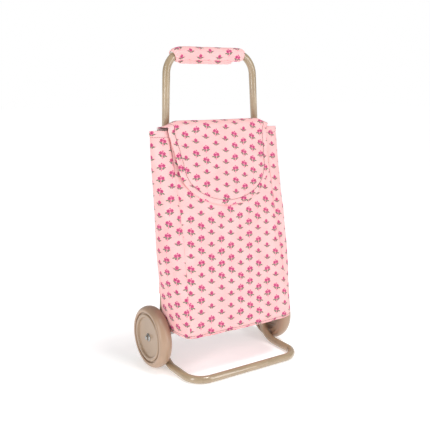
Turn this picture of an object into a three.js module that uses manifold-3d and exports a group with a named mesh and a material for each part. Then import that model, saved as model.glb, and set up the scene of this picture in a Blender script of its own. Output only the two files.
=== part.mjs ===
// A child's two-wheeled shopping trolley: a bent tube frame in two pieces, a pair of wheels on one
// axle, a cloth bag with a flap that lifts, and a padded grip. Millimetres, +Z up, front towards -Y.
// The origin is the middle of the bounding box's underside, on the floor.

import * as THREE from 'three';
import { mergeVertices } from 'three/addons/utils/BufferGeometryUtils.js';
import Module from 'manifold-3d';

const wasm = await Module();
wasm.setup();

// ---- Driving dimensions -------------------------------------------------------------------------

const CLEARANCE = 0.3; // gap between faces that touch on the real thing

// Frame tubes
const TUBE_RADIUS = 7;
const TUBE_WALL = 1.2;
const HANDLE_HEIGHT = 560; // floor to the axis of the top bar
const HANDLE_SPAN = 181; // between the leg axes at the top bar
const FOOT_SPAN = 230; // between the leg axes at the floor loop
const LEAN = THREE.MathUtils.degToRad(2.2); // legs lean back from the vertical
const HANDLE_BEND = 40; // bend radii are to the tube's axis
const FOOT_BEND = 40;
const LOOP_CORNER = 33;
const LOOP_REACH = 112; // leg axis to front bar axis, along the floor
const SPLICE_HEIGHT = 300; // top end of the lower tube, along the leg
const SWAGE_LENGTH = 45; // reduced end of the upper tube inside the lower one
const SWAGE_PLUG = 6; // full-bore root of the reduced end
const SWAGE_WALL = 1.2;
const SCREW_DEPTH = 22; // splice screw below the lower tube's end
const SCREW_RADIUS = 2.3;
const SCREW_HEAD = { radius: 4.5, height: 2.8 };
const SCREW_NUT = { radius: 4.6, height: 5 };

// Wheels
const WHEEL_RADIUS = 56.5;
const WHEEL_WIDTH = 24.5;
const TYRE_DEPTH = 10.5;
const TYRE_SHOULDER = 9;
const RIM_RING = 8.5; // raised ring between the tyre and the flat disc
const WEB_THICKNESS = 5;
const WEB_RECESS = 4; // flat disc below the rim's outer face
const HUB_RADIUS = 11;
const AXLE_RADIUS = 4;
const AXLE_PROTRUSION = 5.5; // axle end beyond the flat disc
const WASHER_THICKNESS = 1.8;
const WASHER_RADIUS = 8;
const PUSH_NUT = { radius: 6.5, thickness: 1.6 };

// Grip
const GRIP_SPAN = 148; // straight distance between the ends of its axis
const FOAM_THICKNESS = 3.3;
const GRIP_SAG = 2; // the padding hangs this far below the bar's axis
const COVER_THICKNESS = 1.3;
const COVER_LIP = { length: 92, drop: 6.5, thickness: 1.2 };

// Bag. Heights run along the leaning legs, depths run forward from the plane of the leg axes.
const CLOTH = 1.6;
const LEG_GAP = 2.6; // back panel to the leg tubes
const AXLE_GAP = 17.44; // bag's underside above the axle's middle
const BAG_TOP = 419;
const BAG_DEPTH_LOW = 87;
const BAG_DEPTH_TOP = 13;
const BAG_TAPER = 1.25; // exponent of the depth's fall from bottom to top
const BAG_CROWN = 9; // bulge of the front panel's middle
const FRONT_HALF = 104;
const FRONT_SETBACK = 10; // bottom front corners inside the back panel's edges
const SIDE_FLARE = 16; // creases of the side panels spread this much from bottom to top
const WHEEL_GAP = 3.2; // cloth to the wheels' inner faces
const FLARE_START = 46; // below the wheels' tops
const FLARE_HEIGHT = 158.4;
const BOARD = { thickness: 2, inset: 5, side: 10, corner: 8 };
const LOOP_STRAP = { height: 40, tab: 24, thickness: 1.3, slack: 0.6 };
const LOOP_STRAP_MARGIN = 14; // above the wheels, and below the bag's top edge

// Flap
const FLAP_HINGE_RISE = 5; // rear hinge line above the bag's top edge
const FLAP_FOLD_RISE = 2; // front fold line above the bag's top edge
const FLAP_RIDGE = 9; // arch of the top strip above its two hinge lines
const FLAP_HALF = 108; // at the front fold
const FLAP_WAIST_HALF = 101;
const FLAP_WAIST_DROP = 51; // front fold to the start of the round end
const FLAP_LENGTH = 135; // front fold to the lowest point
const FLAP_STANDOFF = 3.2; // inner face in front of the bag's front panel
const HINGE_SPACE = 1.3; // cloth ends this far from its hinge lines
const BINDING_WIDTH = 11;
const PATCH = { half: 25, height: 18, thickness: 1, rise: 14 };

// Facets
const TUBE_SIDES = 12;
const WHEEL_SIDES = 36;
const SMALL_SIDES = 16;
const BEND_STEPS = 7;
const GRIP_STEPS = 12;
const CLOTH_ROWS = 8;

// ---- Derived places -----------------------------------------------------------------------------

const FLOOR_AXIS = TUBE_RADIUS * Math.cos(Math.PI / TUBE_SIDES); // tube axis above the floor
const LEG_LENGTH = (HANDLE_HEIGHT - FLOOR_AXIS) / Math.cos(LEAN);
const SPLAY = Math.atan((FOOT_SPAN - HANDLE_SPAN) / 2 / LEG_LENGTH);
const AXLE_HEIGHT = WHEEL_RADIUS * Math.cos(Math.PI / WHEEL_SIDES);
const AXLE_RISE = (AXLE_HEIGHT - FLOOR_AXIS) / Math.cos(LEAN);
const BORE_RADIUS = AXLE_RADIUS + CLEARANCE;
const HUB_INNER_FACE = legX(AXLE_RISE) + TUBE_RADIUS + 2 * CLEARANCE + WASHER_THICKNESS;
const WHEEL_MIDDLE = HUB_INNER_FACE + WHEEL_WIDTH / 2;
const WEB_OUTER_FACE = HUB_INNER_FACE + WHEEL_WIDTH - WEB_RECESS;
const SPLICE_SCREW = SPLICE_HEIGHT - SCREW_DEPTH;
const SWAGE_RADIUS = TUBE_RADIUS - TUBE_WALL - CLEARANCE;
const FOAM_RADIUS = TUBE_RADIUS + FOAM_THICKNESS;
const BAG_BACK = TUBE_RADIUS + LEG_GAP; // rear face of the back panel
const BAG_BOTTOM = AXLE_RISE + AXLE_GAP;
const BACK_HALF = HUB_INNER_FACE - WHEEL_GAP;
const SIDE_HALF_LOW = BACK_HALF - 1; // between the wheels
const FRONT_HALF_LOW = BACK_HALF - FRONT_SETBACK; // at the bottom edge
const REAR_HINGE = new THREE.Vector2(-BAG_BACK - CLOTH / 2, BAG_TOP + FLAP_HINGE_RISE);
const FRONT_FOLD = new THREE.Vector2(-flapFace(BAG_TOP) - CLOTH / 2, BAG_TOP + FLAP_FOLD_RISE);
const WALL_BOTTOM = BAG_BOTTOM + CLOTH + CLEARANCE;

function legX(rise) {
  return THREE.MathUtils.lerp(FOOT_SPAN / 2, HANDLE_SPAN / 2, rise / LEG_LENGTH);
}

function bagDepth(rise) {
  const share = THREE.MathUtils.clamp((rise - BAG_BOTTOM) / (BAG_TOP - BAG_BOTTOM), 0, 1);
  return THREE.MathUtils.lerp(BAG_DEPTH_LOW, BAG_DEPTH_TOP, share ** BAG_TAPER);
}

function sideHalf(rise) {
  const start = 2 * WHEEL_RADIUS - FLARE_START;
  return SIDE_HALF_LOW + SIDE_FLARE * THREE.MathUtils.smoothstep(rise, start, start + FLARE_HEIGHT);
}

function frontHalf(rise) {
  const share = THREE.MathUtils.clamp((BAG_TOP - rise) / (BAG_TOP - BAG_BOTTOM), 0, 1);
  return THREE.MathUtils.lerp(FRONT_HALF, FRONT_HALF_LOW, share ** 2);
}

/** Depth of the front panel's outer face; across runs from -1 to 1 between its side edges. */
function bagFront(across, rise) {
  return BAG_BACK + bagDepth(rise) + BAG_CROWN * (1 - across ** 2);
}

function flapFace(rise) {
  return bagFront(0, rise) + FLAP_STANDOFF;
}

// ---- Materials ----------------------------------------------------------------------------------

const paint = new THREE.MeshStandardMaterial({ color: 0xbfa582, roughness: 0.45, metalness: 0.1 });
const plastic = new THREE.MeshStandardMaterial({ color: 0xbea387, roughness: 0.55, metalness: 0 });
const rubber = new THREE.MeshStandardMaterial({ color: 0xbca285, roughness: 0.75, metalness: 0 });
const steel = new THREE.MeshStandardMaterial({ color: 0xb8b8b4, roughness: 0.35, metalness: 1 });
const print = new THREE.MeshStandardMaterial({ color: 0xf7cbcb, roughness: 0.9, metalness: 0 });
const foam = new THREE.MeshStandardMaterial({ color: 0xe9e6e0, roughness: 0.95, metalness: 0 });
const board = new THREE.MeshStandardMaterial({ color: 0x9b8468, roughness: 0.9, metalness: 0 });
const fastener = new THREE.MeshStandardMaterial({ color: 0xf2d8d6, roughness: 0.95, metalness: 0 });

// ---- Shape helpers ------------------------------------------------------------------------------

function named(name, geometry, material) {
  const mesh = new THREE.Mesh(geometry, material);
  mesh.name = name;
  return mesh;
}

function toManifold(geometry) {
  const bare = geometry.clone();
  bare.deleteAttribute('normal');
  bare.deleteAttribute('uv');
  const merged = mergeVertices(bare, 1e-4);
  return new wasm.Manifold(new wasm.Mesh({
    numProp: 3,
    vertProperties: new Float32Array(merged.attributes.position.array),
    triVerts: new Uint32Array(merged.index.array),
  }));
}

function fromManifold(solid) {
  const mesh = solid.getMesh();
  const geometry = new THREE.BufferGeometry();
  geometry.setAttribute('position', new THREE.BufferAttribute(mesh.vertProperties, 3));
  geometry.setIndex(new THREE.BufferAttribute(mesh.triVerts, 1));
  geometry.computeVertexNormals();
  return geometry;
}

/** Straight runs between corner points, joined by circular bends; every run is one step. */
class BentRoute extends THREE.Curve {
  constructor(corners, bendRadius, bendSteps) {
    super();
    this.stages = [];
    let from = corners[0];
    for (let i = 1; i < corners.length - 1; i += 1) {
      const corner = corners[i];
      const into = corner.clone().sub(corners[i - 1]).normalize();
      const out = corners[i + 1].clone().sub(corner).normalize();
      const turn = into.angleTo(out);
      const radius = bendRadius[i - 1];
      const setback = radius * Math.tan(turn / 2);
      const start = corner.clone().addScaledVector(into, -setback);
      const inward = out.clone().addScaledVector(into, -Math.cos(turn)).normalize();
      const centre = start.clone().addScaledVector(inward, radius);
      this.addRun(from, start);
      this.addBend(centre, inward, into, radius, turn, bendSteps);
      from = corner.clone().addScaledVector(out, setback);
    }
    this.addRun(from, corners[corners.length - 1]);
    this.steps = this.stages.length;
  }

  addRun(from, to) {
    const along = to.clone().sub(from).normalize();
    this.stages.push({
      point: (share) => from.clone().lerp(to, share),
      tangent: () => along.clone(),
    });
  }

  addBend(centre, inward, into, radius, turn, bendSteps) {
    for (let step = 0; step < bendSteps; step += 1) {
      const angleAt = (share) => (turn * (step + share)) / bendSteps;
      this.stages.push({
        point: (share) => centre.clone()
          .addScaledVector(inward, -radius * Math.cos(angleAt(share)))
          .addScaledVector(into, radius * Math.sin(angleAt(share))),
        tangent: (share) => into.clone().multiplyScalar(Math.cos(angleAt(share)))
          .addScaledVector(inward, Math.sin(angleAt(share))),
      });
    }
  }

  locate(t) {
    const place = THREE.MathUtils.clamp(t, 0, 1) * this.steps;
    const index = Math.min(Math.floor(place), this.steps - 1);
    return { stage: this.stages[index], share: place - index };
  }

  getUtoTmapping(u) {
    return u;
  }

  getPoint(t) {
    const { stage, share } = this.locate(t);
    return stage.point(share);
  }

  getTangent(t) {
    const { stage, share } = this.locate(t);
    return stage.tangent(share);
  }
}

/** The top bar's axis with the first part of the bend at each end. */
class GripRoute extends THREE.Curve {
  constructor() {
    super();
    this.straightEnd = HANDLE_SPAN / 2 - HANDLE_BEND * Math.tan((Math.PI / 2 - SPLAY) / 2);
    this.sweep = Math.asin((GRIP_SPAN / 2 - this.straightEnd) / HANDLE_BEND);
  }

  getUtoTmapping(u) {
    return u;
  }

  angleAt(t) {
    return (Math.max(0, t * 3 - 2) - Math.max(0, 1 - t * 3)) * this.sweep;
  }

  getPoint(t) {
    const angle = this.angleAt(t);
    const middle = THREE.MathUtils.clamp(t * 3 - 1, 0, 1) * 2 - 1;
    return new THREE.Vector3(
      middle * this.straightEnd + HANDLE_BEND * Math.sin(angle),
      0,
      LEG_LENGTH - HANDLE_BEND * (1 - Math.cos(angle)),
    );
  }

  getTangent(t) {
    const angle = this.angleAt(t);
    return new THREE.Vector3(Math.cos(angle), 0, -Math.sin(angle));
  }
}

/** A regular outline with one flat side facing the given direction. */
function polygonPoints(radius, sides, flatAngle) {
  const points = [];
  for (let i = 0; i < sides; i += 1) {
    const angle = flatAngle + ((i + 0.5) * 2 * Math.PI) / sides;
    points.push(new THREE.Vector2(radius * Math.cos(angle), radius * Math.sin(angle)));
  }
  return points;
}

/** A ring whose outer outline, and inner one if wanted, hang below the section's centre. */
function ringShape(outer, inner, sides, flatAngle, outerDrop, innerDrop) {
  const lowered = (radius, drop) => polygonPoints(radius, sides, flatAngle)
    .map((point) => point.add(new THREE.Vector2(0, drop)));
  const shape = new THREE.Shape(lowered(outer, outerDrop));
  shape.holes.push(new THREE.Path(lowered(inner, innerDrop).reverse()));
  return shape;
}

/** The section angle that turns a flat of the swept tube towards +Z, part way along its route. */
function upwardFlat(route, step) {
  const frames = route.computeFrenetFrames(route.steps, false);
  return Math.atan2(frames.binormals[step].z, frames.normals[step].z);
}

function sweptRing(route, outer, inner, steps, flatAngle = 0, outerDrop = 0, innerDrop = 0) {
  const section = ringShape(outer, inner, TUBE_SIDES, flatAngle, outerDrop, innerDrop);
  return new THREE.ExtrudeGeometry(section, { steps, extrudePath: route });
}

/** Turns a closed profile of [radius, distance] points about the X axis. */
function turnedAboutX(profile, sides) {
  const closed = [...profile, profile[0]].map(([radius, along]) => new THREE.Vector2(radius, along));
  const geometry = new THREE.LatheGeometry(closed, sides, Math.PI / sides);
  return geometry.rotateZ(-Math.PI / 2);
}

function turnedPlug(profile, sides) {
  const points = profile.map(([radius, along]) => new THREE.Vector2(radius, along));
  return new THREE.LatheGeometry(points, sides, Math.PI / sides).rotateZ(-Math.PI / 2);
}

/** A closed skin between two grids of points, the first facing out. */
function clothShell(outer, inner) {
  const rows = outer.length;
  const columns = outer[0].length;
  const positions = [...outer.flat(), ...inner.flat()].flatMap((point) => point.toArray());
  const index = [];
  const at = (side, row, column) => (side * rows + row) * columns + column;
  const quad = (a, b, c, d) => index.push(a, b, c, a, c, d);
  for (let row = 0; row < rows - 1; row += 1) {
    for (let column = 0; column < columns - 1; column += 1) {
      quad(at(0, row, column), at(0, row, column + 1), at(0, row + 1, column + 1), at(0, row + 1, column));
      quad(at(1, row, column), at(1, row + 1, column), at(1, row + 1, column + 1), at(1, row, column + 1));
    }
  }
  for (let column = 0; column < columns - 1; column += 1) {
    const last = rows - 1;
    quad(at(0, 0, column), at(1, 0, column), at(1, 0, column + 1), at(0, 0, column + 1));
    quad(at(0, last, column), at(0, last, column + 1), at(1, last, column + 1), at(1, last, column));
  }
  for (let row = 0; row < rows - 1; row += 1) {
    const last = columns - 1;
    quad(at(0, row, 0), at(0, row + 1, 0), at(1, row + 1, 0), at(1, row, 0));
    quad(at(0, row, last), at(1, row, last), at(1, row + 1, last), at(0, row + 1, last));
  }
  const geometry = new THREE.BufferGeometry();
  geometry.setAttribute('position', new THREE.Float32BufferAttribute(positions, 3));
  geometry.setIndex(index);
  geometry.computeVertexNormals();
  return geometry;
}

function spread(from, to, count) {
  return Array.from({ length: count }, (_, i) => THREE.MathUtils.lerp(from, to, i / (count - 1)));
}

/** A slab along X whose edge-on outline is given as [depth, rise] points. */
function slabAlongX(outline, half) {
  const shape = new THREE.Shape(outline.map((point) => new THREE.Vector2(point.x, point.y)));
  const geometry = new THREE.ExtrudeGeometry(shape, { depth: 2 * half, bevelEnabled: false });
  const basis = new THREE.Matrix4().makeBasis(
    new THREE.Vector3(0, 1, 0),
    new THREE.Vector3(0, 0, 1),
    new THREE.Vector3(1, 0, 0),
  );
  return geometry.applyMatrix4(basis).translate(-half, 0, 0);
}

/** A closed outline that follows a line of points at two distances to its left. */
function bandOutline(line, near, far) {
  const edge = (distance) => line.map((point, i) => {
    const before = line[Math.max(i - 1, 0)];
    const after = line[Math.min(i + 1, line.length - 1)];
    const along = after.clone().sub(before).normalize();
    return new THREE.Vector2(point.x - along.y * distance, point.y + along.x * distance);
  });
  return [...edge(near), ...edge(far).reverse()];
}

// ---- Frame --------------------------------------------------------------------------------------

function planeToFloor(point) {
  const turned = point.clone().applyAxisAngle(new THREE.Vector3(1, 0, 0), -LEAN);
  return turned.add(new THREE.Vector3(0, 0, FLOOR_AXIS));
}

function lowerFrameTube() {
  const corners = [-1, 1].map((side) => [
    planeToFloor(new THREE.Vector3(side * legX(SPLICE_HEIGHT), 0, SPLICE_HEIGHT)),
    new THREE.Vector3((side * FOOT_SPAN) / 2, 0, FLOOR_AXIS),
    new THREE.Vector3((side * FOOT_SPAN) / 2, -LOOP_REACH, FLOOR_AXIS),
  ]);
  const route = new BentRoute(
    [...corners[0], ...corners[1].reverse()],
    [FOOT_BEND, LOOP_CORNER, LOOP_CORNER, FOOT_BEND],
    BEND_STEPS,
  );
  const flat = upwardFlat(route, Math.floor(route.steps / 2));
  const inner = TUBE_RADIUS - TUBE_WALL;
  let tube = toManifold(sweptRing(route, TUBE_RADIUS, inner, route.steps, flat));
  tube = tube.subtract(toManifold(axleCutter()));
  for (const side of [-1, 1]) {
    tube = tube.subtract(toManifold(screwCutter(side)));
  }
  return named('lower_frame_tube', fromManifold(tube), paint);
}

function axleCutter() {
  const reach = FOOT_SPAN / 2 + 2 * TUBE_RADIUS;
  const cutter = turnedPlug([[0, -reach], [BORE_RADIUS, -reach], [BORE_RADIUS, reach], [0, reach]], SMALL_SIDES);
  return cutter.translate(0, AXLE_RISE * Math.sin(LEAN), AXLE_HEIGHT);
}

function legMatrix(side, rise) {
  const matrix = new THREE.Matrix4().makeRotationY(-side * SPLAY);
  return matrix.setPosition(side * legX(rise), 0, rise);
}

function screwCutter(side) {
  const radius = SCREW_RADIUS + CLEARANCE;
  const reach = 2 * TUBE_RADIUS;
  const cutter = turnedPlug([[0, -reach], [radius, -reach], [radius, reach], [0, reach]], SMALL_SIDES);
  cutter.applyMatrix4(legMatrix(side, SPLICE_SCREW));
  return cutter.rotateX(-LEAN).translate(0, 0, FLOOR_AXIS);
}

/** The reduced end that plugs into the lower tube, turned about the leg's axis. */
function swagedEnd(side) {
  const bore = SWAGE_RADIUS - SWAGE_WALL;
  const root = TUBE_RADIUS - TUBE_WALL / 2;
  const shoulder = CLEARANCE + SWAGE_RADIUS * 0.1;
  const end = turnedPlug([
    [bore, -SWAGE_LENGTH], [SWAGE_RADIUS, -SWAGE_LENGTH], [SWAGE_RADIUS, 0],
    [root, shoulder], [root, SWAGE_PLUG], [bore, SWAGE_PLUG], [bore, -SWAGE_LENGTH],
  ], SMALL_SIDES);
  end.rotateY(-Math.PI / 2);
  return end.applyMatrix4(legMatrix(side, SPLICE_HEIGHT + CLEARANCE));
}

function upperFrameTube() {
  const start = SPLICE_HEIGHT + CLEARANCE;
  const route = new BentRoute([
    new THREE.Vector3(-legX(start), 0, start),
    new THREE.Vector3(-HANDLE_SPAN / 2, 0, LEG_LENGTH),
    new THREE.Vector3(HANDLE_SPAN / 2, 0, LEG_LENGTH),
    new THREE.Vector3(legX(start), 0, start),
  ], [HANDLE_BEND, HANDLE_BEND], BEND_STEPS);
  let tube = toManifold(sweptRing(route, TUBE_RADIUS, TUBE_RADIUS - TUBE_WALL, route.steps));
  for (const side of [-1, 1]) {
    tube = tube.add(toManifold(swagedEnd(side)));
  }
  const unlean = new THREE.Matrix4().makeRotationX(LEAN);
  for (const side of [-1, 1]) {
    const cutter = screwCutter(side).translate(0, 0, -FLOOR_AXIS).applyMatrix4(unlean);
    tube = tube.subtract(toManifold(cutter));
  }
  return named('upper_frame_tube', fromManifold(tube), paint);
}

/** Screw with its head on the outer side of the leg, as seen along the leg's own X axis. */
function spliceScrew(side, label) {
  const seat = TUBE_RADIUS + CLEARANCE;
  const tip = TUBE_RADIUS + SCREW_NUT.height;
  const geometry = turnedPlug([
    [0, -tip], [SCREW_RADIUS, -tip], [SCREW_RADIUS, seat], [SCREW_HEAD.radius, seat],
    [SCREW_HEAD.radius, seat + SCREW_HEAD.height * 0.5], [SCREW_HEAD.radius * 0.6, seat + SCREW_HEAD.height],
    [0, seat + SCREW_HEAD.height],
  ], SMALL_SIDES);
  const screw = named(`splice_screw_${label}`, geometry, steel);
  return placedOnLeg(screw, side, SPLICE_SCREW);
}

function spliceNut(side, label) {
  const seat = TUBE_RADIUS + CLEARANCE;
  const bore = (SCREW_RADIUS + CLEARANCE) / Math.cos(Math.PI / 6);
  const geometry = turnedAboutX([
    [bore, -seat - SCREW_NUT.height], [SCREW_NUT.radius, -seat - SCREW_NUT.height],
    [SCREW_NUT.radius, -seat], [bore, -seat],
  ], 6);
  const nut = named(`splice_nut_${label}`, geometry, steel);
  return placedOnLeg(nut, side, SPLICE_SCREW);
}

/** Places a piece made about the leg's axis; its +X side faces outwards on both legs. */
function placedOnLeg(mesh, side, rise) {
  const holder = new THREE.Group();
  holder.position.set(side * legX(rise), 0, rise);
  holder.rotation.y = -side * SPLAY;
  mesh.rotation.z = side > 0 ? 0 : Math.PI;
  holder.add(mesh);
  return holder;
}

// ---- Wheels -------------------------------------------------------------------------------------

function axle() {
  const reach = WEB_OUTER_FACE + AXLE_PROTRUSION;
  const chamfer = 0.8;
  const geometry = turnedPlug([
    [0, -reach], [AXLE_RADIUS - chamfer, -reach], [AXLE_RADIUS, -reach + chamfer],
    [AXLE_RADIUS, reach - chamfer], [AXLE_RADIUS - chamfer, reach], [0, reach],
  ], SMALL_SIDES);
  return named('axle', geometry, steel);
}

function washer(side, label) {
  const inner = HUB_INNER_FACE - CLEARANCE - WASHER_THICKNESS;
  const outer = HUB_INNER_FACE - CLEARANCE;
  const geometry = turnedAboutX([
    [BORE_RADIUS, inner], [WASHER_RADIUS, inner], [WASHER_RADIUS, outer], [BORE_RADIUS, outer],
  ], SMALL_SIDES);
  return mirrored(`wheel_washer_${label}`, geometry, plastic, side);
}

/** Turns a piece made for the right-hand side about the vertical for the left-hand side. */
function mirrored(name, geometry, material, side) {
  if (side < 0) {
    geometry.rotateZ(Math.PI);
  }
  return named(name, geometry, material);
}

function wheelDisc(side, label) {
  const inner = HUB_INNER_FACE;
  const outer = HUB_INNER_FACE + WHEEL_WIDTH;
  const seat = WHEEL_RADIUS - TYRE_DEPTH - CLEARANCE;
  const ring = seat - RIM_RING;
  const webInner = WEB_OUTER_FACE - WEB_THICKNESS;
  const round = RIM_RING / 4;
  const geometry = turnedAboutX([
    [BORE_RADIUS, inner], [HUB_RADIUS, inner], [HUB_RADIUS, webInner], [ring, webInner],
    [ring, inner + 2 * round], [ring + round, inner + round], [seat - round, inner + round],
    [seat, inner + 2 * round], [seat, outer - round], [seat - round, outer],
    [ring + round, outer], [ring, outer - round], [ring, WEB_OUTER_FACE], [BORE_RADIUS, WEB_OUTER_FACE],
  ], WHEEL_SIDES);
  return mirrored(`wheel_disc_${label}`, geometry, plastic, side);
}

function tyre(side, label) {
  const seat = WHEEL_RADIUS - TYRE_DEPTH;
  const half = WHEEL_WIDTH / 2;
  const profile = [[seat, WHEEL_MIDDLE - half + 1]];
  for (const [end, from] of [[-1, 0], [1, Math.PI / 2]]) {
    for (const angle of spread(from, from + Math.PI / 2, 4)) {
      const along = WHEEL_MIDDLE + end * (half - TYRE_SHOULDER) - TYRE_SHOULDER * Math.cos(angle);
      profile.push([WHEEL_RADIUS - TYRE_SHOULDER * (1 - Math.sin(angle)), along]);
    }
  }
  profile.push([seat, WHEEL_MIDDLE + half - 1]);
  return mirrored(`tyre_${label}`, turnedAboutX(profile, WHEEL_SIDES), rubber, side);
}

function pushNut(side, label) {
  const face = WEB_OUTER_FACE + CLEARANCE;
  const dish = PUSH_NUT.thickness / 2;
  const geometry = turnedAboutX([
    [BORE_RADIUS, face + dish], [PUSH_NUT.radius, face], [PUSH_NUT.radius, face + dish],
    [BORE_RADIUS, face + PUSH_NUT.thickness],
  ], SMALL_SIDES);
  return mirrored(`push_nut_${label}`, geometry, steel, side);
}

// ---- Grip ---------------------------------------------------------------------------------------

function handleFoam() {
  const geometry = sweptRing(new GripRoute(), FOAM_RADIUS, TUBE_RADIUS + CLEARANCE, GRIP_STEPS, 0, GRIP_SAG);
  return named('handle_foam', geometry, foam);
}

/** One layer of the lip under the grip, where the cover's two edges meet. */
function coverLip(layer) {
  const underside = GRIP_SAG + FOAM_RADIUS + CLEARANCE + COVER_THICKNESS;
  const drop = underside + COVER_LIP.drop;
  const top = underside - COVER_THICKNESS / 2;
  const lip = new THREE.BoxGeometry(COVER_LIP.length, COVER_LIP.thickness, drop - top);
  const gap = COVER_LIP.thickness / 2 + CLEARANCE;
  const y = layer * (COVER_LIP.thickness + gap);
  return lip.translate(0, y, LEG_LENGTH - (drop + top) / 2);
}

function handleCover() {
  const inner = FOAM_RADIUS + CLEARANCE;
  const outer = inner + COVER_THICKNESS;
  let cover = toManifold(sweptRing(new GripRoute(), outer, inner, GRIP_STEPS, 0, GRIP_SAG, GRIP_SAG));
  for (const layer of [-1, 1]) {
    cover = cover.add(toManifold(coverLip(layer)));
  }
  return named('handle_cover', fromManifold(cover), print);
}

/** The fastening strip held between the two layers of the lip. */
function coverStrip() {
  const height = COVER_LIP.drop - 2 * CLEARANCE;
  const strip = new THREE.BoxGeometry(COVER_LIP.length - 4, COVER_LIP.thickness, height);
  const top = GRIP_SAG + FOAM_RADIUS + COVER_THICKNESS + 3 * CLEARANCE;
  strip.translate(0, 0, LEG_LENGTH - top - height / 2);
  return named('cover_closure_strip', strip, fastener);
}

// ---- Bag ----------------------------------------------------------------------------------------

function bagFrontPanel() {
  const rows = spread(WALL_BOTTOM, BAG_TOP, CLOTH_ROWS);
  const columns = spread(-1, 1, 9);
  const face = (inset) => rows.map((rise) => columns.map(
    (across) => new THREE.Vector3(across * frontHalf(rise), inset - bagFront(across, rise), rise),
  ));
  return named('bag_front', clothShell(face(0), face(CLOTH)), print);
}

function bagBackPanel() {
  const top = REAR_HINGE.y - HINGE_SPACE;
  const height = top - WALL_BOTTOM;
  const panel = new THREE.BoxGeometry(2 * BACK_HALF, CLOTH, height);
  panel.translate(0, -BAG_BACK - CLOTH / 2, WALL_BOTTOM + height / 2);
  return named('bag_back', panel, print);
}

/** Half an ellipse from the front panel's edge round to the back panel's edge. */
function sidePoint(rise, angle, inset, gap) {
  const half = bagDepth(rise) / 2 - inset;
  const front = frontHalf(rise);
  const edge = THREE.MathUtils.lerp(front, BACK_HALF, (1 + Math.sin(angle)) / 2) + gap;
  const bulge = sideHalf(rise) - (front + BACK_HALF) / 2 - inset;
  const middle = BAG_BACK + bagDepth(rise) / 2;
  return new THREE.Vector3(edge + bulge * Math.cos(angle), -middle + half * Math.sin(angle), rise);
}

function bagSide(side, label) {
  const rows = spread(WALL_BOTTOM, BAG_TOP, CLOTH_ROWS);
  const angles = spread(-Math.PI / 2, Math.PI / 2, 7);
  const face = (inset) => rows.map((rise) => angles.map((angle) => {
    const point = sidePoint(rise, angle, inset, CLEARANCE);
    return point.setX(side * point.x);
  }));
  const geometry = side > 0 ? clothShell(face(0), face(CLOTH)) : clothShell(face(CLOTH), face(0));
  return named(`bag_side_${label}`, geometry, print);
}

function bottomOutline() {
  const right = spread(-Math.PI / 2, Math.PI / 2, 7).map((angle) => sidePoint(BAG_BOTTOM, angle, 0, 0));
  const left = right.map((point) => new THREE.Vector3(-point.x, point.y, 0)).reverse();
  const front = spread(-1, 1, 9).slice(1, -1)
    .map((across) => new THREE.Vector3(across * frontHalf(BAG_BOTTOM), -bagFront(across, BAG_BOTTOM), 0));
  return [...front, ...right, ...left].map((point) => new THREE.Vector2(point.x, point.y));
}

function bagBottomPanel() {
  const shape = new THREE.Shape(bottomOutline());
  const panel = new THREE.ExtrudeGeometry(shape, { depth: CLOTH, bevelEnabled: false });
  return named('bag_bottom', panel.translate(0, 0, BAG_BOTTOM), print);
}

function bottomBoard() {
  const half = FRONT_HALF_LOW - BOARD.side;
  const rear = -BAG_BACK - CLOTH - BOARD.inset;
  const front = -BAG_BACK - BAG_DEPTH_LOW + CLOTH + BOARD.inset;
  const corner = BOARD.corner;
  const shape = new THREE.Shape();
  shape.absarc(half - corner, rear - corner, corner, 0, Math.PI / 2);
  shape.absarc(-half + corner, rear - corner, corner, Math.PI / 2, Math.PI);
  shape.absarc(-half + corner, front + corner, corner, Math.PI, 1.5 * Math.PI);
  shape.absarc(half - corner, front + corner, corner, 1.5 * Math.PI, 2 * Math.PI);
  const options = { depth: BOARD.thickness, bevelEnabled: false, curveSegments: 4 };
  const plate = new THREE.ExtrudeGeometry(shape, options);
  return named('bottom_board', plate.translate(0, 0, WALL_BOTTOM), board);
}

/** A strap behind the leg, sewn to the back panel by a tab on its inner side and by its outer end. */
function loopStrap(side, label, rise) {
  const inner = TUBE_RADIUS + LOOP_STRAP.slack;
  const outer = inner + LOOP_STRAP.thickness;
  const seat = -BAG_BACK + CLEARANCE;
  const shape = new THREE.Shape();
  shape.moveTo(-LOOP_STRAP.tab, seat);
  shape.lineTo(-inner, seat);
  shape.absarc(0, 0, inner, Math.PI, 0, true);
  shape.lineTo(inner, seat);
  shape.lineTo(outer, seat);
  shape.absarc(0, 0, outer, 0, Math.PI, false);
  shape.lineTo(-outer, seat + LOOP_STRAP.thickness);
  shape.lineTo(-LOOP_STRAP.tab, seat + LOOP_STRAP.thickness);
  const options = { depth: LOOP_STRAP.height, bevelEnabled: false, curveSegments: 10 };
  const strap = toManifold(new THREE.ExtrudeGeometry(shape, options));
  const turned = side > 0 ? strap : strap.mirror([1, 0, 0]);
  const geometry = fromManifold(turned).translate(0, 0, -LOOP_STRAP.height / 2);
  const holder = new THREE.Group();
  holder.position.set(side * legX(rise), 0, rise);
  holder.rotation.y = -side * SPLAY;
  holder.add(named(`leg_loop_${label}`, geometry, print));
  return holder;
}

// ---- Flap ---------------------------------------------------------------------------------------

/** Middle line of the arched strip from the rear hinge line to the front fold. */
function flapTopLine() {
  const line = spread(0, 1, 9).map((share) => {
    const point = REAR_HINGE.clone().lerp(FRONT_FOLD, share);
    const skew = share ** 0.8;
    point.y += FLAP_RIDGE * Math.sin(Math.PI * skew) ** 0.8;
    return point;
  });
  return trimmed(line, HINGE_SPACE);
}

/** Shortens a line of points by the same length at its first and last points. */
function trimmed(line, length) {
  const start = line[1].clone().sub(line[0]).setLength(length).add(line[0]);
  const last = line.length - 1;
  const end = line[last - 1].clone().sub(line[last]).setLength(length).add(line[last]);
  return [start, ...line.slice(1, last), end];
}

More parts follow.
